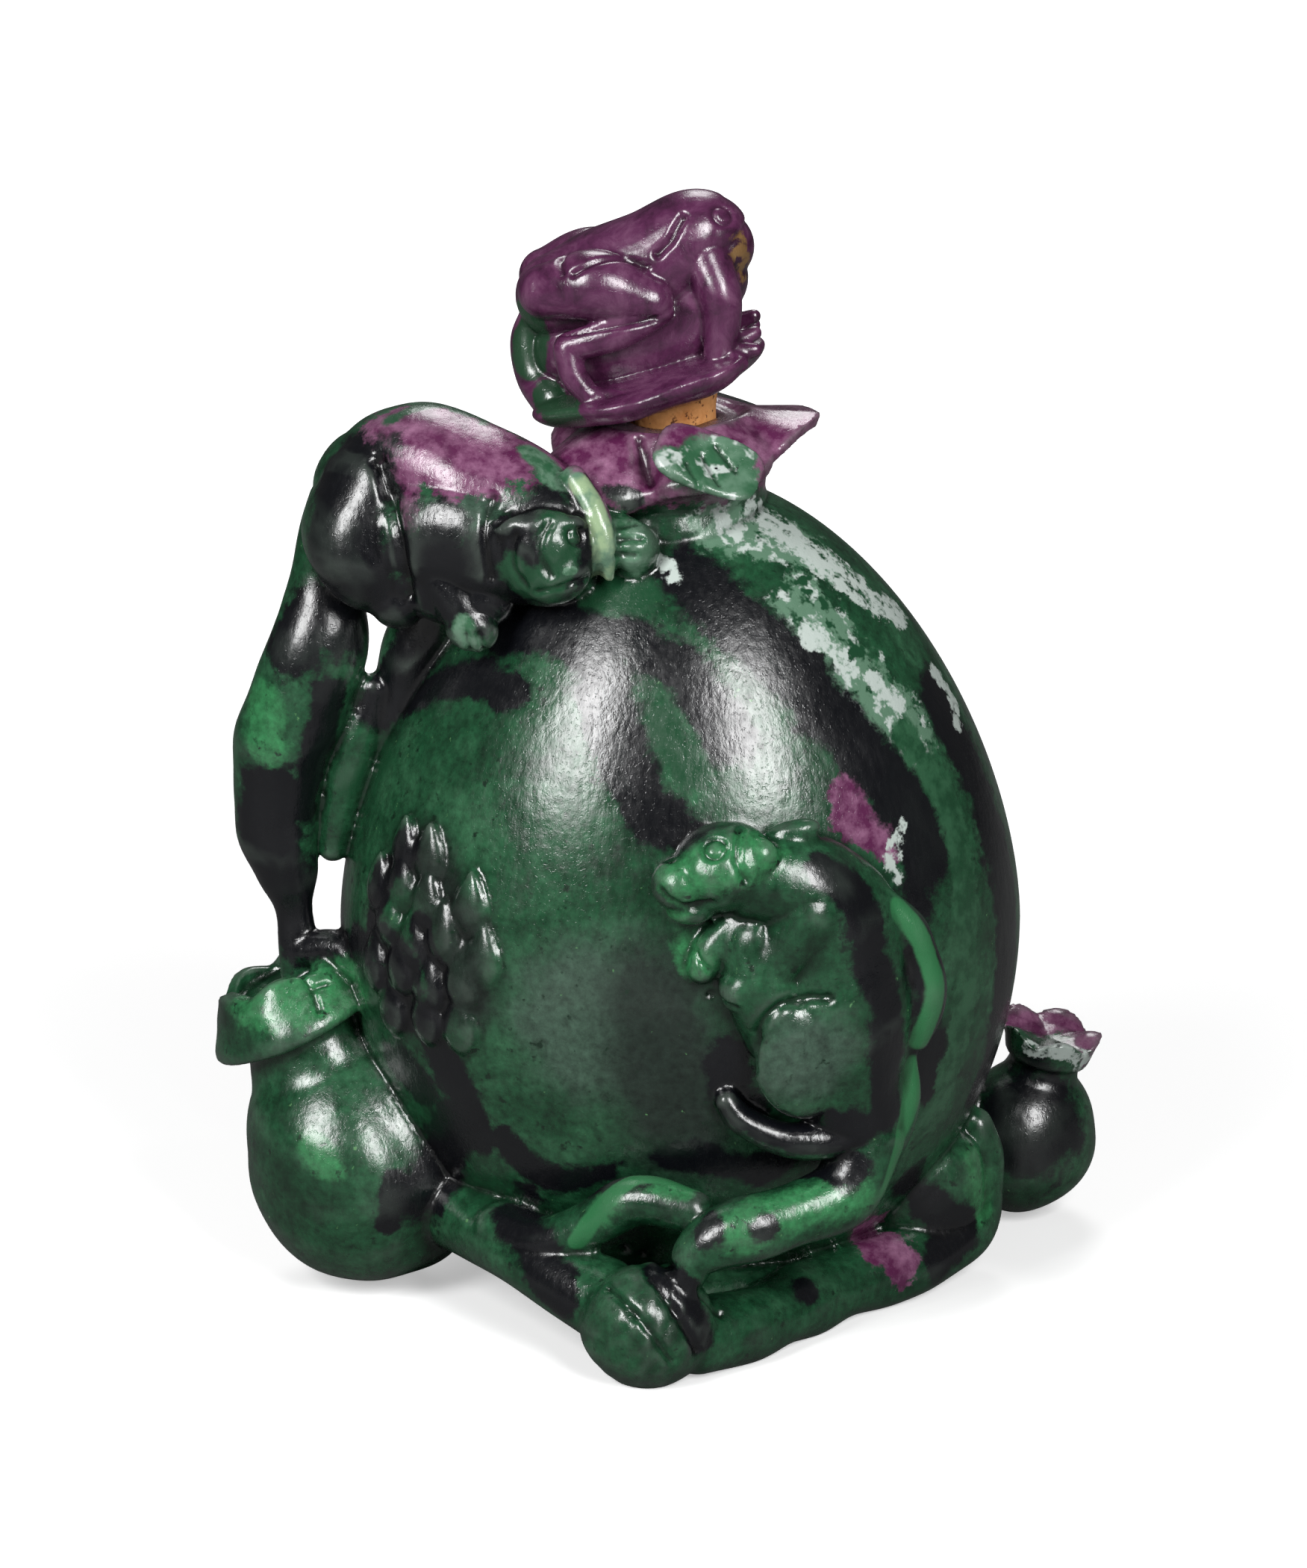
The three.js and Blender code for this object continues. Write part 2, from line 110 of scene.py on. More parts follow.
# Two angles over a ball: round the pole, and down from the pole.
def ballAngles(rows, sides):
    fall = np.linspace(0, math.pi, rows + 1)[:, None]
    return np.broadcast_arrays(roundTurn(sides), fall)


# Turned shape: radius and height carried round +Z.
def lathe(radius, height, turn):
    return np.stack([radius * np.cos(turn), radius * np.sin(turn), height + 0 * turn], -1)


# Bar: a straight slope between two flat ends.
def bar(foot, top, low, high, sides):
    radius = np.array([0.0, foot, top, 0.0])[:, None]
    height = np.array([low, low, high, high])[:, None]
    return lathe(radius, height, roundTurn(sides))


# Reach of a squarish outline at an angle: a circle whose squares become a higher power.
def squareReach(turn, power):
    return (np.abs(np.cos(turn)) ** power + np.abs(np.sin(turn)) ** power) ** (-1 / power)


def turned(grid, degrees):
    ax, ay, az = np.radians(degrees)
    rx = np.array([[1, 0, 0], [0, math.cos(ax), -math.sin(ax)], [0, math.sin(ax), math.cos(ax)]])
    ry = np.array([[math.cos(ay), 0, math.sin(ay)], [0, 1, 0], [-math.sin(ay), 0, math.cos(ay)]])
    rz = np.array([[math.cos(az), -math.sin(az), 0], [math.sin(az), math.cos(az), 0], [0, 0, 1]])
    return grid @ (rx @ ry @ rz).T


# Ellipsoid: the ball's unit vector times three half sizes.
def lump(centre, halves, turn=(0, 0, 0), rows=28, sides=40):
    around, fall = ballAngles(rows, sides)
    ball = lathe(np.sin(fall), np.cos(fall), around)
    return turned(ball * np.array(halves), turn) + np.array(centre)


# Limb: a circle of changing radius carried along a smooth path, with half-ball ends.
# A flat limb has its offsets along "face" multiplied by "thin".
def limb(stations, thin=1.0, face=(0, 1, 0), sides=36, steps=12):
    path = smoothPath(stations, steps)
    centre, radius = path[:, :3], np.maximum(path[:, 3], 0.05)
    along = unit(np.gradient(centre, axis=0))
    flat = unit(np.array(face, float))
    cap = np.linspace(math.pi / 2, 0, 9)[:-1]
    spread = np.concatenate([np.cos(cap) * radius[0], radius, np.cos(cap[::-1]) * radius[-1]])
    middle = np.concatenate([
        centre[0] - along[0] * (np.sin(cap) * radius[0])[:, None], centre,
        centre[-1] + along[-1] * (np.sin(cap[::-1]) * radius[-1])[:, None],
    ])
    heading = np.concatenate([np.repeat(along[:1], len(cap), 0), along, np.repeat(along[-1:], len(cap), 0)])
    side = unit(np.cross(heading, flat))
    out = np.cross(heading, side)
    around = roundTurn(sides)[..., None]
    offset = side[:, None] * np.cos(around) + out[:, None] * np.sin(around)
    offset = offset * spread[:, None, None]
    offset = offset - (offset @ flat)[..., None] * flat * (1 - thin)
    return middle[:, None] + offset


# Swings a grid from +Z to an axis, then moves it to its centre.
def swung(grid, axis, centre):
    up = unit(np.array(axis, float))
    side = unit(np.cross([0.0, 1.0, 0.0], up))
    back = np.cross(up, side)
    return grid[..., :1] * side + grid[..., 1:2] * back + grid[..., 2:] * up + np.array(centre)


def gridFaces(rows, sides, start):
    row = np.arange(rows - 1)[:, None] * sides
    here = np.arange(sides)[None, :]
    there = (here + 1) % sides
    corners = [row + here, row + there, row + sides + there, row + sides + here]
    return np.stack(corners, -1).reshape(-1, 4) + start


def meshFrom(name, points, faces):
    mesh = bpy.data.meshes.new(name)
    mesh.vertices.add(len(points))
    mesh.vertices.foreach_set("co", np.ascontiguousarray(points, np.float32).ravel())
    corners = faces.shape[1]
    mesh.loops.add(faces.size)
    mesh.loops.foreach_set("vertex_index", np.ascontiguousarray(faces, np.int32).ravel())
    mesh.polygons.add(len(faces))
    mesh.polygons.foreach_set("loop_start", np.arange(0, faces.size, corners, dtype=np.int32))
    mesh.update(calc_edges=True)
    mesh.validate()
    return mesh


def readArray(items, name, width, kind):
    values = np.empty(len(items) * width, kind)
    items.foreach_get(name, values)
    return values.reshape(-1, width)


def readMesh(mesh):
    points = readArray(mesh.vertices, "co", 3, np.float32)
    edges = readArray(mesh.edges, "vertices", 2, np.int32)
    normals = readArray(mesh.vertex_normals, "vector", 3, np.float32)
    return points.astype(float), edges, normals.astype(float)


def evaluated(holder):
    bpy.context.view_layer.update()
    graph = bpy.context.evaluated_depsgraph_get()
    return bpy.data.meshes.new_from_object(holder.evaluated_get(graph))


# Runs the grids together into one closed skin, as if cut from one block.
def oneBlock(name, grids, voxel):
    points = np.concatenate([g.reshape(-1, 3) for g in grids])
    starts = np.cumsum([0] + [g.shape[0] * g.shape[1] for g in grids[:-1]])
    faces = np.concatenate([gridFaces(g.shape[0], g.shape[1], s) for g, s in zip(grids, starts)])
    holder = linked(name + "Rough", meshFrom(name + "Rough", points, faces))
    skin = holder.modifiers.new("oneBlock", "REMESH")
    skin.mode = "VOXEL"
    skin.voxel_size = voxel
    mesh = evaluated(holder)
    bpy.data.objects.remove(holder)
    mesh.name = name
    return mesh


# The mean of each point's neighbours along the edges.
def neighbourMean(points, edges):
    count = len(points)
    a, b = edges[:, 0], edges[:, 1]
    degree = np.bincount(a, minlength=count) + np.bincount(b, minlength=count)
    total = np.stack([
        np.bincount(a, points[b, k], count) + np.bincount(b, points[a, k], count) for k in range(3)
    ], 1)
    return total / np.maximum(degree, 1)[:, None]


# Each round moves every point part of the way to the mean of its neighbours, then a little back.
def relaxed(points, edges, rounds, there=0.5, back=-0.45):
    for share in [there, back] * rounds:
        points = points + share * (neighbourMean(points, edges) - points)
    return points


def putPoints(mesh, points):
    mesh.vertices.foreach_set("co", np.ascontiguousarray(points, np.float32).ravel())
    mesh.update()


# The search for a place: pixels about it, millimetres behind the nearest point, least facing.
search = {"pixels": 9.0, "behind": 0.8, "facing": -0.1, "slack": 1.0}


# The nearest skin point that shows at a place in the photograph's frame.
def showing(points, normals):
    across, down, depth = inFrame(points)
    facing = normals @ viewBack > search["facing"]

    def spots(places):
        found = []
        for px, py in places:
            off = (across - px) ** 2 + (down - py) ** 2
            near = (off < search["pixels"] ** 2) & facing
            if not near.any():
                near = off <= off[facing].min() + search["slack"]
            front = near & (depth < depth[near].min() + search["behind"])
            pick = np.flatnonzero(front)
            found.append(points[pick[np.argmin(off[pick])]])
        return np.array(found)

    return spots


# Evens out a line by averaging each inner point with its two neighbours.
def evened(line, rounds=6):
    for _ in range(rounds):
        line = np.vstack([line[:1], (line[:-2] + 2 * line[1:-1] + line[2:]) / 4, line[-1:]])
    return line


# Distance of every point from a smooth line through a few stations.
def lineDistance(points, stations, reach, steps=10, far=1e3):
    line = smoothPath(stations, steps) if len(stations) > 1 else np.asarray(stations, float)
    away = np.full(len(points), far)
    box = np.all((points > line.min(0) - reach) & (points < line.max(0) + reach), 1)
    chosen = np.flatnonzero(box)
    if len(chosen):
        away[chosen] = np.sqrt(((points[chosen, None, :] - line[None, :, :]) ** 2).sum(-1).min(1))
    return away


# Cuts a groove, or raises a bead where the depth is negative: a bell curve of the distance to its line.
def carve(points, normals, stations, width, depth):
    away = lineDistance(points, stations, 3 * width)
    return points - normals * (depth * np.exp(-((away / width) ** 2)))[:, None]


def setAttribute(mesh, name, values):
    layer = mesh.attributes.new(name, "FLOAT", "POINT")
    layer.data.foreach_set("value", np.ascontiguousarray(values, np.float32))


# The bottle.

bottleSizes = {
    "x": 0.6, "halfWidth": 23.8, "halfDepth": 19.5, "belt": 26.0, "rise": 32.0, "drop": 28.0,
    "power": 1.7, "round": 0.55, "mouth": 62.2,
    "bore": 3.3, "neckTop": 5.0, "neckFoot": 7.5, "neckHeight": 9.0, "neckSink": 0.4, "overlap": 6,
    "wall": 4.8, "hollowTop": 53.0, "hollowFloor": 5.5, "hollowFull": 0.9, "hollowShare": 0.94,
    "hollowVoxel": 0.6, "hollowRelax": 3, "voxel": 0.22, "relax": 4, "faces": 190000,
}


# Width at a height, as a share of the belt: a half ellipse below, a fuller power curve above.
def bellyShare(height):
    s = bottleSizes
    above = np.asarray(height, float) - s["belt"]
    low = np.sqrt(np.clip(1 - (above / s["drop"]) ** 2, 0, 1))
    high = np.clip(1 - np.clip(above / s["rise"], 0, 1) ** s["power"], 0, 1) ** s["round"]
    return np.where(above < 0, low, high)


# A place on the wall by angle from the front towards +X, height and lift.
def onBottle(angle, height, lift=0.0):
    s = bottleSizes
    a = math.radians(angle)
    share = float(bellyShare(height))
    return (
        s["x"] + (s["halfWidth"] * share + lift) * math.sin(a),
        -(s["halfDepth"] * share + lift) * math.cos(a), height,
    )


def bottleEgg():
    s = bottleSizes
    turn, fall = ballAngles(120, 180)
    height = s["belt"] + np.cos(fall) * np.where(fall < math.pi / 2, s["rise"], s["drop"])
    share = bellyShare(height)
    return np.stack([
        s["x"] + s["halfWidth"] * share * np.cos(turn), s["halfDepth"] * share * np.sin(turn), height,
    ], -1)


def neckBar():
    s = bottleSizes
    return bar(s["neckFoot"], s["neckTop"], s["mouth"] - s["neckHeight"], s["mouth"] - s["neckSink"], 72)


# Petals: angle from the front towards +X, reach, height of the tip from the mouth, half width in degrees.
collarSizes = {
    "petals": [
        (30, 9.2, -2.4, 38), (93, 10.3, 0.0, 36), (160, 10.4, -1.6, 38), (228, 10.2, -2.4, 38),
        (300, 10.6, -3.9, 42),
    ],
    "mouth": 4.6, "valley": 7.6, "edge": 1.1, "foot": 6.3, "footDepth": 6.5, "seam": 0.55, "rib": 0.35,
    "lip": 0.9, "lipTo": 50.0,
}


# Collar: at each angle a profile runs out over the petal, round its edge and back under it, hollow.
def petalCollar():
    s, mouth = collarSizes, bottleSizes["mouth"]
    turn = roundTurn(360)
    angle = 90 + np.degrees(turn)
    share = np.zeros_like(angle)
    reach = np.full_like(angle, s["valley"])
    weight = np.full_like(angle, 1e-6)
    tip = np.zeros_like(angle)
    for middle, length, height, half in s["petals"]:
        off = np.abs((angle - middle + 180) % 360 - 180) / half
        pull = np.clip(1 - off, 0, 1)
        share = np.maximum(share, pull)
        reach = np.maximum(reach, s["valley"] + (length - s["valley"]) * pull**0.7)
        near = np.exp(-((off / 0.8) ** 2))
        tip, weight = tip + near * height, weight + near
    tip = tip / weight
    over = np.linspace(0, 1, 40)[:, None]
    out = s["mouth"] + (reach - s["mouth"]) * over
    rib = s["rib"] * share**4 * over * (1 - over**4)
    drop = tip * over**1.5 + rib - s["seam"] * (1 - share) ** 3 * np.sin(over * 2.2)
    lip = s["lip"] * (0.5 + 0.5 * np.cos(np.radians(angle - s["lipTo"])))
    drop = drop + lip * np.sin(np.clip(over * 5, 0, 1) * math.pi / 2) * (1 - over) ** 2
    under = np.linspace(0, 1, 30)[1:, None]
    back = reach + (s["foot"] - reach) * (1 - (1 - under) ** 2.2)
    low = tip - s["edge"] + (-s["footDepth"] - tip + s["edge"]) * under**1.7
    flat = np.zeros_like(angle)
    radius = np.concatenate([flat, out, back, flat])
    height = mouth + np.concatenate([flat, drop, low, flat - s["footDepth"]])
    return lathe(radius, height, turn)


leftFruitSizes = {
    "centre": (-21.2, -3.2, 8.4), "axis": (-0.42, 0.05, 0.905),
    "radius": 8.2, "stretch": 1.0, "shoulder": 1.32,
    "neck": 5.5, "flange": 6.2, "flangeAt": 11.7, "rim": 4.4, "rimAt": 16.0, "floorAt": 14.4,
    "lobes": 5, "lobeDepth": 0.9, "lobeTurn": 0.6,
}
rightFruitSizes = {
    "centre": (25.4, 9.5, 5.9), "axis": (0.22, -0.05, 0.97),
    "radius": 5.2, "stretch": 1.12, "shoulder": 1.12,
    "neck": 3.1, "flange": 2.9, "flangeAt": 6.4, "rim": 3.6, "rimAt": 8.8, "floorAt": 7.6,
    "lobes": 5, "lobeDepth": 1.0, "lobeTurn": 0.2,
}
fruitNeck = [(0.93, 0.12), (0.84, 0.42), (0.8, 0.85)]  # shares of the neck's radius and of its height


# Fruit: a round belly, a neck and an open crown turned about one axis, its rim cut into lobes.
def pomegranate(s):
    neckFall = math.asin(s["neck"] / s["radius"])
    fall = np.linspace(math.pi, neckFall, 30)
    stretch = np.where(fall > math.pi / 2, s["stretch"], s["shoulder"])
    belly = np.stack([s["radius"] * np.sin(fall), s["radius"] * stretch * np.cos(fall)], 1)
    shoulder = belly[-1, 1]
    gap = s["flangeAt"] - shoulder
    outside = smoothPath([
        belly[-1], *[(s["neck"] * wide, shoulder + up * gap) for wide, up in fruitNeck],
        (s["flange"], s["flangeAt"]),
        (s["flange"] * 0.55 + s["rim"] * 0.45, (s["flangeAt"] + s["rimAt"]) / 2), (s["rim"], s["rimAt"]),
    ], 8)[1:]
    inside = np.array([
        (s["rim"] * 0.74, s["rimAt"] - 0.1), (s["neck"] * 0.6, s["floorAt"] + 0.4), (0.0, s["floorAt"]),
    ])
    profile = np.concatenate([belly, outside, inside])
    turn = roundTurn(120)
    radius, height = profile[:, :1], profile[:, 1:]
    lobe = 0.5 + 0.5 * np.cos(s["lobes"] * turn + s["lobeTurn"])
    rise = np.clip((height - s["floorAt"]) / (s["rimAt"] - s["floorAt"]), 0, 1) ** 1.5
    height = height - rise * s["lobeDepth"] * (1 - lobe**0.6)
    return swung(lathe(radius, height, turn), s["axis"], s["centre"])


seedSizes = {
    "top": 34.2, "rowStep": 2.7, "angleStep": 8.6,
    "starts": (-57, -64, -59.5, -63, -57), "counts": (2, 4, 4, 4, 3),
    "halfWidth": 1.5, "halfHeight": 2.15, "halfThick": 0.85, "lift": -0.15, "stray": 1.4,
}


# Seed: a ball drawn up to a point, laid flat against the bottle.
def seed(angle, height):
    s = seedSizes
    around, fall = ballAngles(14, 24)
    waist = np.sin(fall) ** 1.25 * (1 - 0.35 * np.cos(fall))
    grid = np.stack([
        s["halfWidth"] * waist * np.cos(around), -s["halfThick"] * waist * np.sin(around),
        s["halfHeight"] * (np.cos(fall) + 0.15 * np.cos(fall) ** 3),
    ], -1)
    return turned(grid, (0, 0, angle)) + np.array(onBottle(angle, height, s["lift"]))


def seedCluster():
    s = seedSizes
    return [
        seed(start + i * s["angleStep"] + s["stray"] * math.sin(7 * row + 5 * i),
             s["top"] - row * s["rowStep"] + 0.4 * s["stray"] * math.sin(4 * row + 3 * i))
        for row, (start, count) in enumerate(zip(s["starts"], s["counts"])) for i in range(count)
    ]


# The squirrel over the left shoulder: stations of x, y, z and radius.
def upperSquirrel():
    return [
        limb([(-20.8, -1.5, 57.8, 3.7), (-17.5, -2.3, 59.1, 4.4), (-14, -4, 58.2, 4.5),
              (-10.6, -5.6, 57.6, 3.9), (-8.4, -7, 56.4, 3.4)]),
        limb([(-20.2, -3.2, 57.2, 4.2), (-20.9, -4, 54.7, 4.4), (-19.9, -5, 52.2, 3.6),
              (-18.8, -5.8, 50.6, 2.2)]),
        limb([(-18.6, -4.4, 55.2, 4), (-15.6, -5.6, 55.4, 4.4), (-12.6, -6.6, 55, 4.2),
              (-10, -7.2, 54.6, 3.6)]),
        limb([(-17.4, -5.4, 53, 3), (-15.4, -6.8, 51.8, 2.6), (-13.2, -7.6, 51.6, 2.4)]),
        lump((-8.5, -8.8, 55), (3.9, 3.2, 3.7), (0, 15, 0)),
        lump((-7.9, -10.6, 53.9), (2.6, 1.5, 2.1)),
        lump((-8.9, -10.2, 57.1), (3.2, 1.2, 1), (0, -4, 0)),
        lump((-12, -9.6, 56.2), (1, 0.8, 1.5), (0, -20, 0)),
        limb([(-6.7, -7.6, 59.8, 0.85), (-5.3, -9, 57.7, 0.95), (-4.5, -9.8, 55.6, 0.8),
              (-4.3, -9.6, 53.4, 0.6)]),
        limb([(-15.2, -8, 52.6, 1.9), (-14.3, -8.8, 50.8, 1.6), (-13.8, -9, 49.8, 1.3)]),
        lump((-13.7, -9.5, 49.5), (1.8, 1.2, 1.6), (0, 25, 0)),
        limb([(-16, -1.6, 49.8, 2.5), (-17.2, -1.3, 46, 2.5), (-18.5, -1.1, 42.6, 2.3),
              (-19.8, -0.9, 39.4, 1.9)]),
        limb([(-6.8, -6.6, 56.6, 1.8), (-4.4, -7.4, 55.6, 1.7), (-2.7, -8, 54.8, 1.8)]),
    ]


def upperTail():
    return [
        limb([(-22.6, -0.5, 56, 2.2), (-23.9, -1, 51.5, 2.5), (-24.2, -1.8, 47.3, 3.2),
              (-25.2, -2, 43.4, 3.7), (-27, -2, 38.6, 3.3), (-27.4, -2, 33.6, 2.9), (-26.9, -2, 29.8, 2.1),
              (-26.4, -2, 26.8, 1.35), (-25.8, -2.4, 22, 1.5), (-25.4, -2.4, 18, 2)], thin=0.8),
        limb([(-20.6, -2, 43, 1.25), (-22, -2, 38.6, 1.5), (-23.1, -2, 34.4, 1.35), (-23.5, -2, 31.6, 1)]),
        limb([(-25.4, -2.6, 24.2, 1.2), (-23.4, -3.4, 24.6, 1.3), (-20.8, -5, 23.4, 1.5)]),
    ]


# The squirrel that climbs the front on the right.
def lowerSquirrel():
    return [
        limb([(5.8, -19.2, 35, 2.9), (9.2, -18.2, 34, 3.9), (11.2, -17.2, 29.6, 4.9), (11.5, -17, 23, 5.1),
              (13, -16.6, 15.8, 3.2)], thin=0.8, face=(0.45, -0.9, 0)),
        lump((3.4, -19.6, 36), (3.5, 2.9, 3.1), (0, -20, 0)),
        lump((0.6, -20.2, 35), (2.1, 1.9, 2)),
        lump((1.2, -20, 33.2), (1.8, 1.6, 1.2)),
        lump((5.7, -20.7, 37.2), (1.3, 1, 1.2)),
        lump((8.2, -18.4, 38.2), (2, 1.1, 1), (0, -15, 0)),
        limb([(9.2, -19.2, 32.6, 2.6), (6.9, -19.9, 29.8, 2.1), (4.8, -20.2, 27.6, 1.7)]),
        limb([(4.6, -19.0, 31.8, 1.5), (2.8, -19.5, 30.4, 1.2), (2.0, -19.5, 28.8, 1)]),
        turned(lump((0, 0, 0), (4.5, 2.1, 4.8), (0, 10, 0)), (0, 0, 26)) + np.array((9.4, -19.6, 23)),
        limb([(5.4, -19.4, 30.6, 2.2), (6.2, -19.6, 27.4, 2.6), (7.2, -19.4, 24.2, 2.4)]),
        limb([(13.2, -17.8, 19.6, 1.4), (11.7, -18.4, 16.6, 1.3), (8.1, -19.2, 16.2, 1.3),
              (5, -19.2, 17.6, 1.1), (3.7, -19.2, 19.2, 0.8)]),
        limb([(13.9, -17.2, 33, 0.9), (16.2, -16.7, 30.2, 1.25), (17.1, -16.3, 26.4, 1.45),
              (16.5, -16.3, 22.6, 1)]),
        limb([(16, -16.4, 21.8, 0.8), (15.8, -16.4, 18, 1.15), (14.6, -16.5, 13.4, 1.05)]),
        limb([(13.4, -16.8, 15.6, 2.6), (11.6, -18.6, 12.3, 2.4), (7.6, -20.4, 11.3, 2.3),
              (4, -21.6, 10.5, 2.1), (1.5, -22, 8.9, 1.6), (0.9, -22.4, 6.6, 1.2)]),
    ]


def footVine():
    return [
        lump((-1.6, -21.6, 3.9), (4.5, 4, 4.5)),
        limb([(1.5, -20.6, 2.4, 2.6), (6, -16.8, 2.2, 2.5), (10.4, -11.6, 2.2, 2.5), (15, -7.6, 2.3, 2.5),
              (18.8, -4.4, 2.8, 2.4), (21.3, -1.4, 4.6, 2.1), (22, -1, 8, 1.7), (21.4, -1.4, 10.8, 1.2)]),
        limb([(-17.5, -5, 7.4, 3.2), (-13.6, -9.5, 6.7, 3), (-10.6, -14, 6.4, 2.6), (-7.2, -17.6, 5.7, 2.6),
              (-3.8, -20, 4.7, 3)]),
        limb([(-11.8, -13.6, 7.8, 1.8), (-8.6, -16.4, 8, 1.9), (-5.4, -18, 9.8, 1.8),
              (-2.4, -19, 11.8, 1.7), (1.4, -20.2, 11.6, 1.3)]),
        lump((3.5, -6, 1), (12, 9, 4.5), (0, 0, 25)),
        lump((17.4, -2.6, 6.4), (4.6, 4.2, 5.4), (0, 15, 0)),
        limb([(15, 6, 10, 3), (20, 8.4, 8.4, 2.6), (23.6, 9.4, 7.4, 2.4)]),
    ]


# The plain back, by angle: a runner of height, lift and radius, and two laid leaves of height and roll.
def backVine():
    runner = [
        (118, 9, 1.2, 1.6), (140, 14, 0.6, 1.4), (165, 22, 0.4, 1.3), (190, 28, 0.3, 1.1),
        (212, 36, 0.2, 0.8),
    ]
    grids = [limb([onBottle(a, z, lift) + (r,) for a, z, lift, r in runner])]
    for angle, height, roll in [(158, 31, 35), (205, 22, -30)]:
        blade = turned(lump((0, 0, 0), (2.6, 0.9, 4.8), (0, roll, 0)), (0, 0, angle))
        grids.append(blade + np.array(onBottle(angle, height, 0.1)))
    return grids


# Millimetres of slow and quick waves and of chips, where the chips are, and where figures leave the wall.
unevenness = {
    "slow": 0.25, "quick": 0.06, "chip": 0.03, "wall": 1.03, "wallFade": 0.06,
    "chipped": [((-8.3, -10.5, 54.5), 4.2), ((2.6, -21, 35.4), 4.2), ((-1.6, -24, 4.5), 5)],
}


# Hand-cut unevenness: a sum of slow waves in three directions.
def handCut(points):
    x, y, z = points.T
    slow = np.sin(0.33 * x + 0.45 * z + 0.2 * y) * np.sin(0.4 * y - 0.3 * z + 0.15 * x)
    quick = np.sin(0.8 * x - 0.7 * z + 0.7 * y) * np.sin(0.9 * z + 0.5 * x - 0.4 * y)
    return unevenness["slow"] * slow + unevenness["quick"] * quick


# Chipped heads and bud: quick waves that die away from each middle.
def chipped(points):
    x, y, z = points.T
    chips = np.sin(3.1 * x + 1.2 * z) * np.sin(2.7 * z - 1.6 * x + y)
    chips = chips + 0.6 * np.sin(4.3 * x - 3.7 * z + 2 * y)
    near = np.zeros(len(points))
    for middle, reach in unevenness["chipped"]:
        away = np.sqrt(((points - np.array(middle)) ** 2).sum(1))
        near = np.maximum(near, np.clip(1.4 - away / reach, 0, 1))
    return unevenness["chip"] * chips * near


# How far a point is off the plain wall, from 0 on it to 1 on the carved figures.
def offTheEgg(points):
    s = bottleSizes
    share = np.maximum(bellyShare(points[:, 2]), 1e-3)
    out = np.hypot((points[:, 0] - s["x"]) / s["halfWidth"], points[:, 1] / s["halfDepth"]) / share
    return np.clip((out - unevenness["wall"]) / unevenness["wallFade"], 0, 1)


# The front petal: a thin squarish sheet on its own two axes, its middle a little hollow.
frontPetal = {
    "centre": (2.45, -7.85, 60.75), "across": (6.1, -0.5, -2.4), "up": (1.8, 3.5, 2.5),
    "halfWidth": 3.9, "halfHeight": 2.5, "halfThick": 0.6,
    "square": 3.4, "edge": 0.4, "hollow": 0.35, "lift": 0.3,
}


def petalSheet():
    s = frontPetal
    turn, fall = ballAngles(30, 120)
    across = unit(np.array(s["across"]))
    facing = unit(np.cross(across, np.array(s["up"])))
    rise = np.cross(facing, across)
    reach = np.sin(fall) ** s["edge"] * squareReach(turn, s["square"])
    wide, high = s["halfWidth"] * reach * np.cos(turn), s["halfHeight"] * reach * np.sin(turn)
    thick = s["halfThick"] * np.cos(fall) + s["lift"] - s["hollow"] * (1 - np.clip(reach, 0, 1) ** 2)
    sheet = wide[..., None] * across + high[..., None] * rise + thick[..., None] * facing
    return sheet + np.array(s["centre"])


def carvedStone():
    grids = [bottleEgg(), neckBar(), petalCollar(), petalSheet()]
    grids += [pomegranate(leftFruitSizes), pomegranate(rightFruitSizes)]
    grids += seedCluster() + upperSquirrel() + upperTail() + lowerSquirrel() + footVine() + backVine()
    mesh = oneBlock("bottle", grids, bottleSizes["voxel"])
    points, edges, normals = readMesh(mesh)
    points = relaxed(points, edges, bottleSizes["relax"])
    points = points + normals * (handCut(points) * offTheEgg(points) + chipped(points))[:, None]
    points[:, 2] = np.maximum(points[:, 2], 0)
    putPoints(mesh, points)
    return mesh


stoneMesh = carvedStone()
print("stone blocked out:", len(stoneMesh.polygons), "faces")


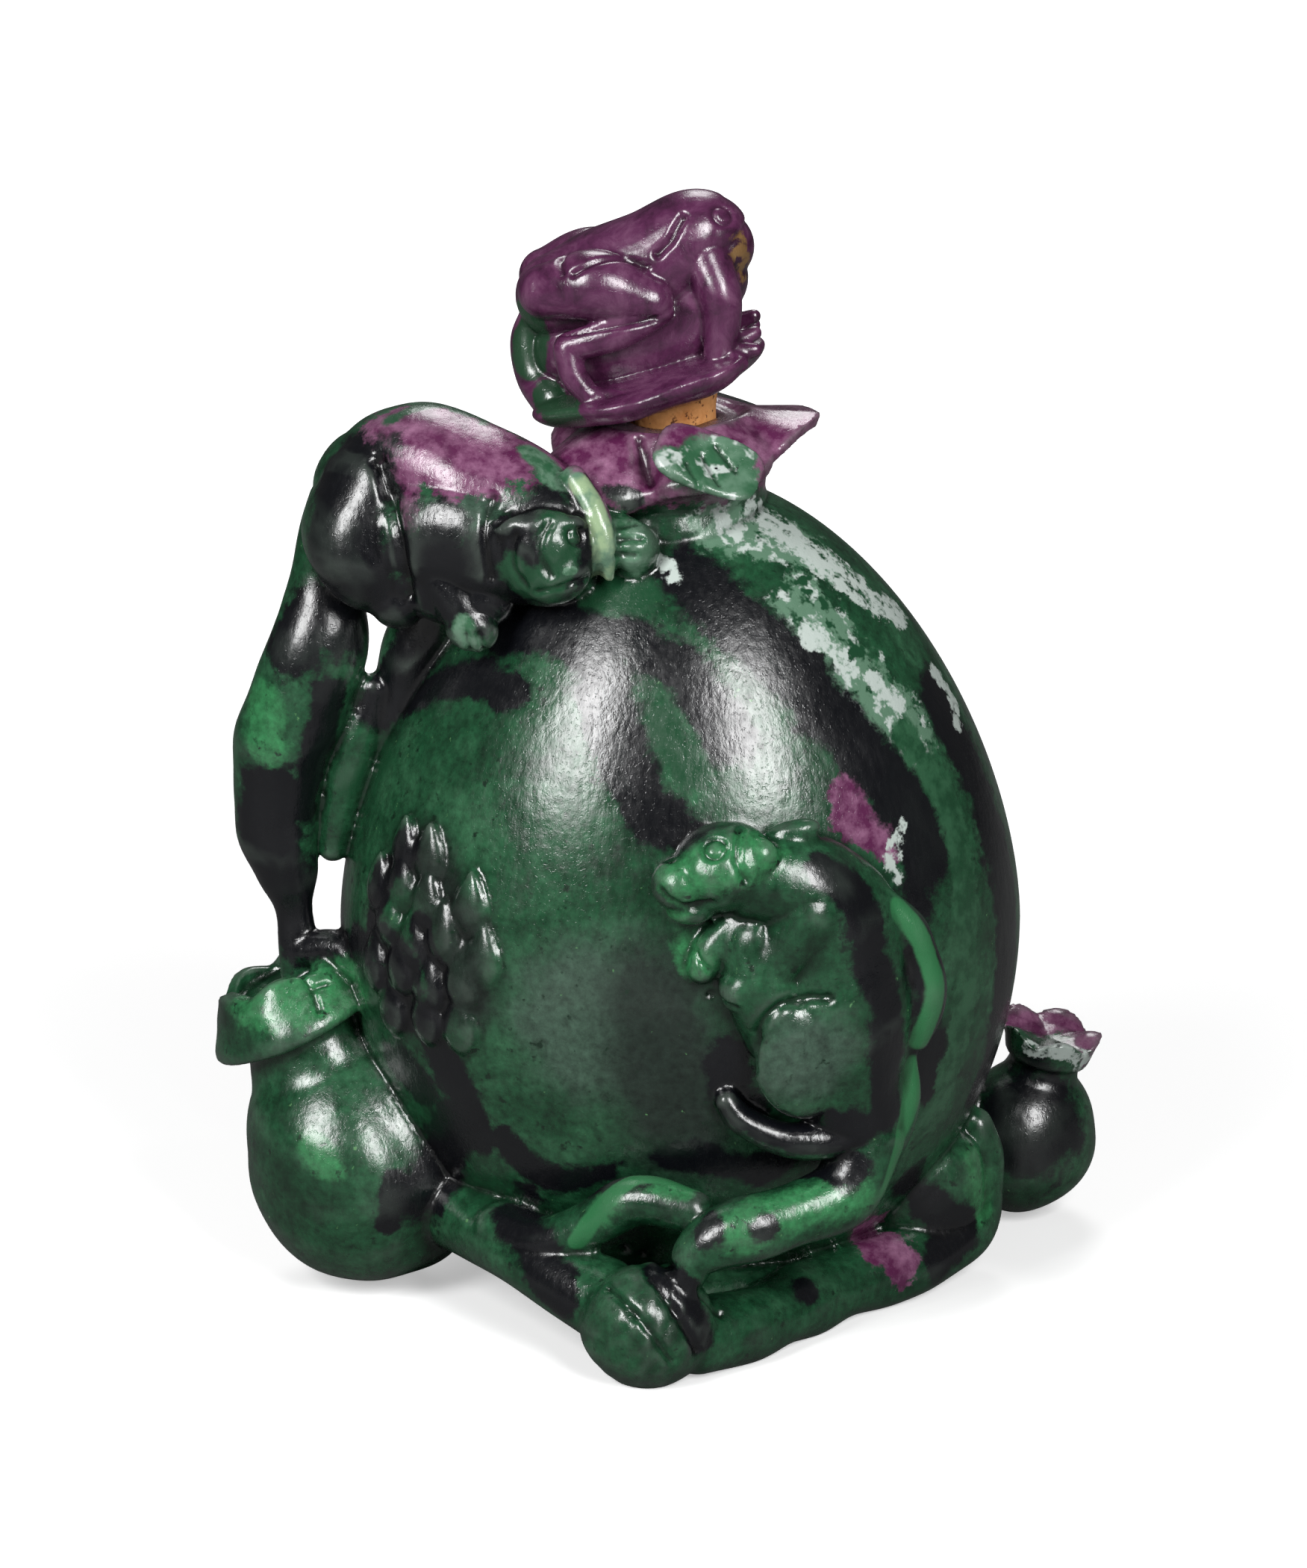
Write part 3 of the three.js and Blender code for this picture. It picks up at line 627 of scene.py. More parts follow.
# Fine cuts: places read in the photograph's frame, groove width and depth in millimetres.
stoneCuts = [
    (0.5, 0.65, [(508, 619), (528, 690), (537, 740), (546, 800)]),  # haunch from body, upper squirrel
    (0.3, 0.35, [(665, 700), (715, 676), (770, 684)]),  # brow
    (0.22, 0.25, [(720, 792), (752, 786), (790, 772)]),  # mouth
    (0.35, 0.3, [(735, 700), (722, 735), (735, 770)]), (0.3, 0.25, [(690, 715), (685, 755), (705, 785)]),
    (0.35, 0.4, [(660, 668), (650, 720), (660, 775)]),  # cheek
    (0.25, 0.35, [(826, 705), (850, 700)]), (0.25, 0.35, [(830, 722), (858, 722)]),  # paws
    (0.25, 0.35, [(828, 742), (852, 746)]),
    (0.25, 0.35, [(622, 850), (632, 878)]), (0.25, 0.35, [(640, 850), (650, 880)]),
    (0.3, 0.35, [(885, 1195), (915, 1215), (950, 1210)]),  # mouth, lower squirrel
    (0.25, 0.3, [(893, 1150), (897, 1152)]),  # nostril
    (0.3, 0.3, [(990, 1110), (985, 1150), (1000, 1180)]),  # ear from head
    (0.25, 0.3, [(930, 1275), (950, 1300)]), (0.25, 0.3, [(950, 1330), (985, 1350)]),
    (0.4, 0.5, [(1008, 1430), (1014, 1380), (1041, 1350), (1075, 1338), (1110, 1336)]),  # top of the thigh
    (0.4, 0.5, [(837, 1675), (890, 1735), (937, 1812)]),  # bud
    (0.3, 0.35, [(815, 1725), (860, 1770), (900, 1825)]),
    (0.3, 0.35, [(860, 1680), (915, 1700), (965, 1760)]),
    (0.35, 0.4, [(854, 588), (862, 615), (871, 647)]),  # between two petals
    (0.2, 0.22, [(960, 600), (985, 632)]), (0.2, 0.22, [(940, 610), (965, 650)]),  # petal's veins
    (0.2, 0.22, [(920, 622), (940, 655)]),
    (0.25, 0.35, [(400, 1300), (418, 1325), (428, 1355)]), (0.25, 0.3, [(418, 1325), (440, 1318)]),  # crown
]
stoneRings = [
    (0.6, 0.18, 0.26, (772, 718)),  # upper eye
    (0.75, 0.22, 0.3, (957, 1137)),  # lower eye
]


# Points on a circle about a place, in the plane square to the normal there.
def ringAbout(centre, normal, radius):
    side = unit(np.cross(normal, [0.0, 0.0, 1.0]))
    rise = np.cross(side, normal)
    around = np.linspace(0, 2 * math.pi, 13)[:, None]
    return centre + radius * (np.cos(around) * side + np.sin(around) * rise)


def cutDetail(mesh, cuts, rings):
    points, edges, normals = readMesh(mesh)
    spots = showing(points, normals)
    placed = [(width, depth, evened(spots(smoothPath(places, 6)))) for width, depth, places in cuts]
    for radius, width, depth, place in rings:
        centre = spots([place])[0]
        nearest = normals[np.argmin(((points - centre) ** 2).sum(1))]
        placed.append((width, depth, ringAbout(centre, nearest, radius)))
    for width, depth, line in placed:
        points = carve(points, normals, line, width, depth)
    putPoints(mesh, points)


cutDetail(stoneMesh, stoneCuts, stoneRings)
print("stone carved")


# The bore and the hollow: an egg inside the belly and a straight bore to the mouth.
def hollowEgg():
    s = bottleSizes
    turn, fall = ballAngles(40, 64)
    middle = (s["hollowTop"] + s["hollowFloor"]) / 2
    half = (s["hollowTop"] - s["hollowFloor"]) / 2
    reach = np.sin(fall) ** s["hollowFull"] * s["hollowShare"]
    return np.stack([
        s["x"] + (s["halfWidth"] - s["wall"]) * reach * np.cos(turn),
        (s["halfDepth"] - s["wall"]) * reach * np.sin(turn), middle + half * np.cos(fall),
    ], -1)


def boreTube():
    s = bottleSizes
    return bar(s["bore"], s["bore"], s["hollowTop"] - s["overlap"], s["mouth"] + s["overlap"], 64)


def hollowOut(mesh):
    inside = oneBlock("hollow", [hollowEgg(), boreTube()], bottleSizes["hollowVoxel"])
    points, edges, normals = readMesh(inside)
    putPoints(inside, relaxed(points, edges, bottleSizes["hollowRelax"]))
    holder = linked("stoneHolder", mesh)
    cutter = linked("hollowCutter", inside)
    cut = holder.modifiers.new("hollow", "BOOLEAN")
    cut.operation = "DIFFERENCE"
    cut.solver = "MANIFOLD"
    cut.object = cutter
    mend = holder.modifiers.new("triangles", "TRIANGULATE")
    mend.keep_custom_normals = False
    whole = evaluated(holder)
    thin = holder.modifiers.new("thin", "DECIMATE")
    thin.ratio = min(1.0, bottleSizes["faces"] / len(whole.polygons))
    done = evaluated(holder)
    bpy.data.objects.remove(holder)
    bpy.data.objects.remove(cutter)
    done.name = "bottle"
    print("stone thinned from", len(whole.polygons), "triangles")
    return done


stoneMesh = hollowOut(stoneMesh)
print("stone hollowed:", len(stoneMesh.polygons), "faces")


# Where the stone changes colour: strokes of a radius, in the frame's pixels.
stoneZones = {
    "black": [
        (68, [(468, 630), (455, 690), (460, 775), (522, 832)]),
        (70, [(579, 753), (624, 787), (715, 753), (760, 730)]),
        (75, [(726, 719)]),
        (45, [(466, 843), (420, 820), (398, 866)]),
        (50, [(364, 1069), (364, 1137), (387, 1205), (410, 1250)]),
        (25, [(443, 934), (426, 1001), (410, 1080)]), (34, [(560, 850), (540, 900), (510, 950)]),
        (40, [(681, 843), (750, 835)]),
        (25, [(522, 945), (613, 911), (692, 934)]),
        (36, [(765, 835), (808, 900), (833, 1010), (873, 1085), (930, 1105)]),
        (34, [(839, 850), (918, 905), (986, 990)]),
        (45, [(920, 775), (970, 821), (1054, 888), (1133, 979), (1189, 1047), (1234, 1137), (1257, 1250)]),
        (45, [(1257, 1250), (1263, 1363), (1246, 1453)]),
        (45, [(1257, 934), (1314, 1047), (1342, 1160), (1353, 1273), (1342, 1386), (1314, 1465)]),
        (32, [(1110, 1165), (1150, 1210), (1165, 1270), (1180, 1340), (1190, 1420), (1190, 1487)]),
        (35, [(975, 1420), (986, 1476), (1054, 1510), (1144, 1510)]),
        (28, [(918, 1544), (1031, 1566), (1144, 1566)]),
        (32, [(477, 1261), (511, 1318), (556, 1363), (613, 1453), (636, 1521)]),
        (34, [(535, 1425), (565, 1455)]),
        (38, [(600, 1500), (590, 1560), (560, 1600)]), (20, [(530, 1590), (520, 1640)]),
        (36, [(690, 1620), (715, 1670), (750, 1735)]),
        # This stroke is painted shade: the hollow between the ribbon and the body, painted black.
        (25, [(669, 1521), (737, 1578), (850, 1578), (907, 1555)]),
        (25, [(884, 1702), (918, 1747), (941, 1792)]),
        (22, [(1020, 1646)]), (22, [(1076, 1725)]), (24, [(952, 1646)]),
        (30, [(1223, 1578), (1257, 1623), (1291, 1646), (1257, 1691)]),
        (85, [(1381, 1510)]),
        (20, [(353, 1250), (410, 1250), (455, 1261)]),
        (26, [(545, 1130), (510, 1180), (495, 1235)]), (34, [(510, 1260), (545, 1300), (540, 1360)]),
        (22, [(565, 1240), (590, 1330), (575, 1390)]), (14, [(800, 640), (850, 668)]),
    ],
    "pale": [
        (38, [(963, 708), (1031, 719), (1099, 740)]),
        (42, [(1070, 800), (1133, 890), (1178, 934), (1223, 985)]),
    ],
    "white": [
        (12, [(893, 752), (905, 770)]),
        (24, [(1020, 690), (1099, 742), (1150, 790), (1205, 825)]),
        (16, [(1085, 850), (1120, 880)]), (14, [(1170, 905), (1200, 940)]), (12, [(985, 720)]),
        (12, [(1257, 900), (1280, 934), (1285, 968)]),
        (10, [(1212, 1103), (1195, 1148), (1201, 1182)]),
        (8, [(1314, 956), (1347, 1047)]),
        (13, [(1385, 1402), (1420, 1408), (1460, 1425)]),
    ],
    "ruby": [
        (50, [(525, 575), (580, 570), (640, 590), (680, 610)]),
        (40, [(560, 615), (600, 630), (650, 630)]), (16, [(545, 640), (550, 700)]),
        (25, [(1144, 1035), (1133, 1092), (1167, 1114), (1189, 1137)]),
        (32, [(1178, 1668), (1212, 1691), (1167, 1646)]),
        (40, [(1375, 1360), (1410, 1345), (1450, 1365), (1465, 1385)]),
        (12, [(1234, 821), (1280, 888)]),
    ],
    "bright": [
        (22, [(412, 1530), (440, 1562)]), (24, [(900, 1240), (930, 1290)]),
        (30, [(345, 940), (360, 1000)]), (26, [(1310, 1560), (1318, 1610)]),
        (42, [(353, 1340), (410, 1340), (455, 1329)]),
        (35, [(918, 1171), (963, 1160), (1020, 1137)]),
        (20, [(805, 1623), (850, 1578), (907, 1589)]),
        (30, [(986, 1646), (1076, 1612), (1144, 1600)]),
    ],
    "band": [
        (24, [(1215, 985), (1258, 1060), (1285, 1137), (1296, 1250), (1290, 1363), (1268, 1453),
              (1240, 1500)]),
    ],
    "blade": [(15, [(775, 645), (792, 668), (804, 696), (808, 742), (808, 770)])],
    "crest": [
        (13, [(770, 1665), (800, 1625), (830, 1590), (862, 1574), (930, 1590)]),
        (15, [(1205, 1215), (1236, 1260), (1252, 1310), (1246, 1360), (1232, 1396)]),
        (14, [(1222, 1430), (1218, 1480), (1205, 1540), (1188, 1595)]),
    ],
    "leafTip": [(36, [(897, 630), (940, 640), (985, 645)]), (27, [(930, 610), (992, 606)])],
    "paw": [
        (16, [(618, 838), (640, 878)]), (26, [(835, 715), (852, 750)]),
        (20, [(715, 612), (748, 640)]), (5, [(757, 762), (768, 764)]),
    ],
    "moss": [
        (26, [(745, 700), (752, 745), (720, 790), (690, 770)]),
        (24, [(805, 790), (865, 800)]), (20, [(885, 960), (905, 1000), (930, 1045)]),
        (18, [(470, 1050), (520, 1010)]), (12, [(520, 560), (600, 540), (660, 560)]),
    ],
    # Painted shade: broad soft darker patches beside the lower squirrel and the seeds.
    "paintedShade": [(75, [(885, 1330), (890, 1430), (905, 1530)]), (42, [(560, 1140), (610, 1240), (620, 1340)])],
    "grey": [
        (30, [(600, 690), (640, 680)]),
        (60, [(1076, 1420)]),
        (110, [(800, 1380)]),
    ],
}


# How far a point stands out from its smoothed surroundings: edges come above a half, hollows below.
def standOut(points, edges, normals, rounds=14, scale=0.5):
    soft = points
    for _ in range(rounds):
        soft = 0.5 * soft + 0.5 * neighbourMean(soft, edges)
    return np.clip(0.5 + ((points - soft) * normals).sum(1) / scale, 0, 1)


# A zone's strength at a point: 1 on its line, a half at the stroke's radius, falling straight to nothing.
def paintZones(mesh, zones, extra):
    points, edges, normals = readMesh(mesh)
    spots = showing(points, normals)
    for name, strokes in zones.items():
        strength = np.zeros(len(points))
        for radius, places in strokes:
            reach = radius * view["pixel"]
            away = lineDistance(points, spots(places), 2 * reach)
            strength = np.maximum(strength, np.clip(1 - away / (2 * reach), 0, 1))
        if name in extra:
            strength = np.maximum(strength, extra[name](points))
        setAttribute(mesh, name, strength)
    setAttribute(mesh, "ridge", standOut(points, edges, normals))


# The collar is ruby: strength falls off below the petals and away from the mouth.
collarRuby = {"above": 55.5, "within": 13, "fade": 4}


def rubyCollar(points):
    s = collarRuby
    off = np.hypot(points[:, 0], points[:, 1])
    least = np.minimum(points[:, 2] - s["above"], s["within"] - off)
    return np.clip(least / s["fade"], 0, 1)


# Veins behind: a slow wave aslant round the back, short of the right fruit.
# Each kind has its shift, steepness and level.
backVeins = {
    "behind": 2, "fade": 6, "rightEnd": 21.5, "rightFade": 2,
    "black": (0.0, 0.9, 0.4), "pale": (-1.5, 1.4, 0.93),
}


def veins(kind):
    s = backVeins
    shift, steep, level = s[kind]

    def strength(points):
        x, y, z = points.T
        wave = np.sin(0.22 * x + 0.1 * z + 0.6 * np.sin(0.15 * z) + shift)
        within = np.clip((y - s["behind"]) / s["fade"], 0, 1)
        within = within * np.clip((s["rightEnd"] - x) / s["rightFade"], 0, 1)
        return within * np.clip(0.5 + steep * (wave - level), 0, 1)

    return strength


paintZones(stoneMesh, stoneZones, {"ruby": rubyCollar, "black": veins("black"), "pale": veins("pale")})
print("stone zones painted")


# Materials. Everything is worked out on Object coordinates, in metres, and on the painted zones.

def feed(tree, socket, value):
    if isinstance(value, bpy.types.NodeSocket):
        tree.links.new(value, socket)
    else:
        socket.default_value = value


# A node with its settings, its inputs being constants or other nodes' outputs.
def addNode(tree, kind, inputs=None, **settings):
    node = tree.nodes.new(kind)
    for name, value in settings.items():
        setattr(node, name, value)
    for name, value in (inputs or {}).items():
        feed(tree, node.inputs[name], value)
    return node


def objectCoords(tree):
    return tree.nodes.new("ShaderNodeTexCoord").outputs["Object"]


def noiseAt(tree, coords, scale, detail=4.0, rough=0.55, warp=0.0):
    return addNode(tree, "ShaderNodeTexNoise", {
        "Vector": coords, "Scale": scale, "Detail": detail, "Roughness": rough, "Distortion": warp,
    }).outputs["Fac"]


def opaque(colour):
    return colour if isinstance(colour, bpy.types.NodeSocket) else tuple(colour) + (1.0,)


def mixColour(tree, factor, first, second, blend="MIX"):
    return addNode(tree, "ShaderNodeMix", {0: factor, 6: opaque(first), 7: opaque(second)},
                   data_type="RGBA", blend_type=blend).outputs[2]


def ramp(tree, value, stops):
    node = addNode(tree, "ShaderNodeValToRGB", {"Fac": value})
    elements = node.color_ramp.elements
    while len(elements) < len(stops):
        elements.new(0.5)
    for element, (at, colour) in zip(elements, stops):
        element.position = at
        element.color = opaque(colour)
    return node.outputs["Color"]


def maths(tree, operation, first, second, clamp=False):
    return addNode(tree, "ShaderNodeMath", {0: first, 1: second},
                   operation=operation, use_clamp=clamp).outputs[0]


def remap(tree, value, low, high, toLow=0.0, toHigh=1.0):
    return addNode(tree, "ShaderNodeMapRange", {
        "Value": value, "From Min": low, "From Max": high, "To Min": toLow, "To Max": toHigh,
    }, interpolation_type="SMOOTHSTEP").outputs["Result"]


def attribute(tree, name):
    return addNode(tree, "ShaderNodeAttribute", attribute_name=name).outputs["Fac"]


# Noise swung about nothing by an amount.
def swing(tree, noise, amount):
    return maths(tree, "MULTIPLY", maths(tree, "SUBTRACT", noise, 0.5), amount)


# A soft step from 0 to 1 at a level.
def stepAt(tree, value, level, soft):
    return remap(tree, value, maths(tree, "SUBTRACT", level, soft), maths(tree, "ADD", level, soft))


def newGroup(name, inputs, outputs):
    group = bpy.data.node_groups.new(name, "ShaderNodeTree")
    for label, value in inputs.items():
        socket = group.interface.new_socket(label, in_out="INPUT", socket_type="NodeSocketFloat")
        socket.default_value = value
    for label in outputs:
        group.interface.new_socket(label, in_out="OUTPUT", socket_type="NodeSocketFloat")
    return group, group.nodes.new("NodeGroupInput").outputs, group.nodes.new("NodeGroupOutput").inputs


# Mineral border: the zone's strength is shaken by noise, then cut at a half.
def mineralBorder():
    group, given, result = newGroup(
        "mineralBorder", {"Zone": 0, "Scale": 500, "Ragged": 0.5, "Soft": 0.04}, ["Mask"])
    noise = noiseAt(group, objectCoords(group), given["Scale"], 9.0, 0.7)
    weight = maths(group, "MULTIPLY", given["Zone"], 4.0, clamp=True)
    shake = maths(group, "MULTIPLY", swing(group, noise, given["Ragged"]), weight)
    shaken = maths(group, "ADD", given["Zone"], shake)
    feed(group, result["Mask"], stepAt(group, shaken, 0.5, given["Soft"]))
    return group


# Flecks: noise cut at a level.
def mineralFlecks():
    group, given, result = newGroup("mineralFlecks", {"Scale": 900, "Level": 0.65, "Soft": 0.03}, ["Mask"])
    noise = noiseAt(group, objectCoords(group), given["Scale"], 3.0, 0.6)
    feed(group, result["Mask"], stepAt(group, noise, given["Level"], given["Soft"]))
    return group


# Noise scales, how far scratches are drawn out, and where pits begin and are full.
polishScales = {
    "broad": 260.0, "fine": 2400.0, "swell": 900.0, "pit": 3600.0,
    "draw": (1.0, 1.0, 0.12), "scratch": 0.5, "pitFrom": 0.58, "pitFull": 0.7,
}


# Hand polish: broad and fine noise change the roughness, and pits and hair scratches the height.
def handPolish():
    s = polishScales
    group, given, result = newGroup(
        "handPolish", {"Roughness": 0.3, "Vary": 0.12, "Pits": 0.5}, ["Roughness", "Height"])
    coords = objectCoords(group)
    drawn = addNode(group, "ShaderNodeVectorMath", {0: coords, 1: s["draw"]}, operation="MULTIPLY")
    broad = noiseAt(group, coords, s["broad"], 5.0, 0.6)
    fine = noiseAt(group, drawn.outputs["Vector"], s["fine"], 3.0, 0.6)
    vary = maths(group, "ADD", swing(group, broad, given["Vary"]), swing(group, fine, given["Vary"]))
    feed(group, result["Roughness"], maths(group, "ADD", given["Roughness"], vary))
    pits = remap(group, noiseAt(group, coords, s["pit"], 2.0, 0.5), s["pitFrom"], s["pitFull"])
    pits = maths(group, "MULTIPLY", pits, given["Pits"])
    swell = noiseAt(group, coords, s["swell"], 4.0, 0.55)
    scratched = maths(group, "ADD", swell, maths(group, "MULTIPLY", fine, s["scratch"]))
    feed(group, result["Height"], maths(group, "SUBTRACT", scratched, pits))
    return group


borderGroup, fleckGroup, polishGroup = mineralBorder(), mineralFlecks(), handPolish()


def placeGroup(tree, group, inputs):
    return addNode(tree, "ShaderNodeGroup", inputs, node_tree=group).outputs


def zone(tree, name, scale, ragged, soft):
    return placeGroup(tree, borderGroup, {
        "Zone": attribute(tree, name), "Scale": scale, "Ragged": ragged, "Soft": soft})["Mask"]


# Flecks over a colour, each with scale, level, softness and the fleck's colour.
def flecked(tree, colour, specks, colours):
    for scale, level, soft, speck in specks:
        mask = placeGroup(tree, fleckGroup, {"Scale": scale, "Level": level, "Soft": soft})["Mask"]
        colour = mixColour(tree, mask, colour, colours[speck])
    return colour


# Zones over a colour: name, border's scale, raggedness and softness, the zone's colour and its flecks.
# A zone with no colour of its own only puts its flecks on what is below.
def layered(tree, colour, layers, colours):
    for name, border, base, specks in layers:
        patch = flecked(tree, colours[base] if base else colour, specks, colours)
        colour = mixColour(tree, zone(tree, name, *border), colour, patch)
    return colour


# Painted shade in the hollows: the colour times a ramp over how far the skin stands out.
def paintedHollowShade(tree, colour):
    shade = ramp(tree, attribute(tree, "ridge"), [(0.25, (0.35,) * 3), (0.5, (1.0,) * 3)])
    return mixColour(tree, 1.0, colour, shade, "MULTIPLY")


def newMaterial(name):
    material = bpy.data.materials.new(name)
    material.use_nodes = True
    tree = material.node_tree
    tree.nodes.clear()
    output = tree.nodes.new("ShaderNodeOutputMaterial")
    shader = tree.nodes.new("ShaderNodeBsdfPrincipled")
    tree.links.new(shader.outputs["BSDF"], output.inputs["Surface"])
    return material, tree, shader, objectCoords(tree)


bumpDepth = 0.0002  # metres


def finishStone(tree, shader, colour, f):
    polish = placeGroup(tree, polishGroup, {
        "Roughness": f["roughness"], "Vary": f["vary"], "Pits": f["pits"]})
    relief = addNode(tree, "ShaderNodeBump", {
        "Strength": f["bump"], "Distance": bumpDepth, "Height": polish["Height"]})
    feed(tree, shader.inputs["Base Color"], colour)
    feed(tree, shader.inputs["Roughness"], polish["Roughness"])
    feed(tree, shader.inputs["Normal"], relief.outputs["Normal"])
    feed(tree, shader.inputs["IOR"], f["ior"])


zoisiteFinish = {
    "deep": (0.004, 0.020, 0.009), "green": (0.010, 0.058, 0.024), "light": (0.030, 0.110, 0.052),
    "bright": (0.028, 0.160, 0.058), "grey": (0.042, 0.082, 0.056), "pale": (0.110, 0.215, 0.140),
    "white": (0.500, 0.570, 0.530), "black": (0.0032, 0.0036, 0.0052), "ruby": (0.095, 0.014, 0.062),
    "rubyLight": (0.300, 0.130, 0.230), "fleck": (0.090, 0.230, 0.090), "blade": (0.300, 0.420, 0.240),
    # The dusk colour is painted shade.
    "paintedShade": (0.012, 0.022, 0.016), "edgeWearAndHighlight": (0.140, 0.180, 0.150),
    # The worn colour lightens raised edges: partly wear, partly a painted highlight.
    "edgeWearAndHighlightFrom": 0.62, "edgeWearAndHighlightFull": 0.9, "edgeWearAndHighlightShare": 0.35,
    "roughness": 0.24, "vary": 0.26, "pits": 0.2, "bump": 0.22, "ior": 1.66,
}
zoisiteUnder = [
    ("grey", (300.0, 0.6, 0.2), "grey", []),
    # The darker patches here are painted shade.
    ("paintedShade", (260.0, 0.7, 0.3), "paintedShade", []),
    ("bright", (560.0, 1.3, 0.2), "bright", []),
]
zoisiteSpecks = [(1300.0, 0.735, 0.03, "fleck"), (1050.0, 0.67, 0.06, "deep")]
zoisiteOver = [
    ("pale", (650.0, 1.5, 0.08), "pale", [(800.0, 0.56, 0.05, "white"), (640.0, 0.58, 0.04, "green")]),
    ("ruby", (560.0, 1.3, 0.07), "rubyPatch", []),
    ("black", (420.0, 1.1, 0.11), "black", []),
    ("moss", (420.0, 1.4, 0.16), "green", []),
    ("paw", (520.0, 0.9, 0.12), "light", [(700.0, 0.5, 0.1, "pale")]),
    ("band", (500.0, 1.3, 0.12), "light", [(620.0, 0.5, 0.14, "green")]),
    ("white", (620.0, 2.3, 0.1), None, [(1150.0, 0.42, 0.08, "white")]),
    ("crest", (600.0, 0.3, 0.1), "bright", []),
    ("blade", (600.0, 0.3, 0.1), "pale", [(500.0, 0.5, 0.12, "blade")]),
    ("leafTip", (520.0, 0.7, 0.08), "light", [
        (420.0, 0.54, 0.14, "pale"), (560.0, 0.6, 0.05, "white"), (760.0, 0.66, 0.03, "black")]),
]


def zoisiteMaterial():
    f = zoisiteFinish
    material, tree, shader, coords = newMaterial("rubyZoisite")
    colour = ramp(tree, noiseAt(tree, coords, 210.0, 8.0, 0.62, 0.4), [
        (0.30, f["deep"]), (0.50, f["green"]), (0.72, f["light"])])
    colour = layered(tree, colour, zoisiteUnder, f)
    mottle = ramp(tree, noiseAt(tree, coords, 1500.0, 5.0, 0.65), [
        (0.30, (0.55,) * 3), (0.70, (1.45,) * 3)])
    colour = mixColour(tree, 1.0, colour, mottle, "MULTIPLY")
    colour = flecked(tree, colour, zoisiteSpecks, f)
    rubyPatch = ramp(tree, noiseAt(tree, coords, 620.0, 6.0, 0.65), [
        (0.40, f["ruby"]), (0.68, f["rubyLight"])])
    colour = layered(tree, colour, zoisiteOver, dict(f, rubyPatch=rubyPatch))
    # The hollows get painted shade.
    colour = paintedHollowShade(tree, colour)
    # Raised edges lighter: partly wear, partly a painted highlight.
    edgeWearAndHighlight = remap(tree, attribute(tree, "ridge"), f["edgeWearAndHighlightFrom"], f["edgeWearAndHighlightFull"])
    colour = mixColour(tree, maths(tree, "MULTIPLY", edgeWearAndHighlight, f["edgeWearAndHighlightShare"]), colour, f["edgeWearAndHighlight"])
    finishStone(tree, shader, colour, f)
    return material


# The frog on its leaf, in the stopper's own frame with the mouth at zero.
frogSizes = {
    "mouth": 62.2, "voxel": 0.15, "relax": 3,
    "leafCentre": (-1.6, -0.5, 2.35), "leafLength": 8.1, "leafWidth": 6.9, "leafThick": 1.45,
    "leafTip": 16.0, "leafEdge": 0.8, "leafRim": 0.5, "waves": 7, "waveDepth": 0.3, "square": 2.6,
}


# Leaf: a flattened, squarish ball with a waved and raised rim, tipped so that its right side is up.
def lotusLeaf():
    s = frogSizes
    turn, fall = ballAngles(40, 120)
    reach = np.sin(fall) ** s["leafEdge"] * squareReach(turn, s["square"])
    wave = s["waveDepth"] * np.cos(s["waves"] * turn)
    grid = np.stack([
        (s["leafLength"] + wave) * reach * np.cos(turn), (s["leafWidth"] + wave) * reach * np.sin(turn),
        s["leafThick"] * np.cos(fall) + s["leafRim"] * reach**6,
    ], -1)
    return turned(grid, (0, -s["leafTip"], 0)) + np.array(s["leafCentre"])


def frogLimbs(side):
    def mirrored(stations):
        return [(x, side * y, z, r) for x, y, z, r in stations]

    grids = [
        limb(mirrored([(-8.6, 2.3, 9.2, 1.9), (-5.2, 3.4, 9.9, 2.4), (-1.5, 3.7, 8.9, 1.6)])),
        limb(mirrored([(-0.8, 3.9, 8.2, 0.95), (-3.6, 4.4, 6.9, 1.2), (-7.0, 4.3, 5.8, 1.05)])),
        limb(mirrored([(-7.1, 4.4, 5.7, 1.0), (-6.7, 4.8, 4.0, 0.95), (-5.6, 5.1, 2.6, 0.8)])),
        limb(mirrored([(2.3, 1.9, 11.2, 1.7), (3.2, 3.0, 9.2, 1.5), (3.4, 3.3, 7.2, 1.25),
                       (3.1, 3.5, 5.2, 1.0)])),
    ]
    for tip in [(-2.9, 5.7, 2.6, 0.5), (-3.5, 6.1, 2.0, 0.5), (-4.6, 6.2, 1.5, 0.45)]:
        grids.append(limb(mirrored([(-5.7, 5.1, 2.8, 0.6), tip])))
    for tip in [(5.6, 2.3, 6.3, 0.5), (5.6, 3.4, 5.4, 0.5), (4.7, 4.4, 4.7, 0.5)]:
        grids.append(limb(mirrored([(3.2, 3.3, 5.2, 0.8), tip])))
    return grids


def frogStopper():
    s = frogSizes
    grids = [
        lotusLeaf(),
        limb([(-7.8, 0, 8.4, 2.9), (-5, 0, 9.3, 3.6), (-1.4, 0, 10.6, 3.7), (1.3, 0, 12.3, 3.4),
              (2.5, 0, 12.3, 3.05), (3.1, 0, 11.8, 2.5)]),
        limb([(2.2, 0, 9.6, 3), (0.2, 0, 6.4, 3.4), (-4, 0, 5, 3.4), (-6.8, 0, 4.6, 2.6)]),
        limb([(-8, -1, 1.2, 1.6), (-9.2, 0.4, 2.6, 1.5), (-9.7, 1, 4.8, 1.4), (-9.3, 1, 6.6, 1.2)]),
    ]
    grids += frogLimbs(-1) + frogLimbs(1)
    grids = [grid + np.array([0, 0, s["mouth"]]) for grid in grids]
    mesh = oneBlock("frogStopper", grids, s["voxel"])
    points, edges, normals = readMesh(mesh)
    putPoints(mesh, relaxed(points, edges, s["relax"]))
    return mesh


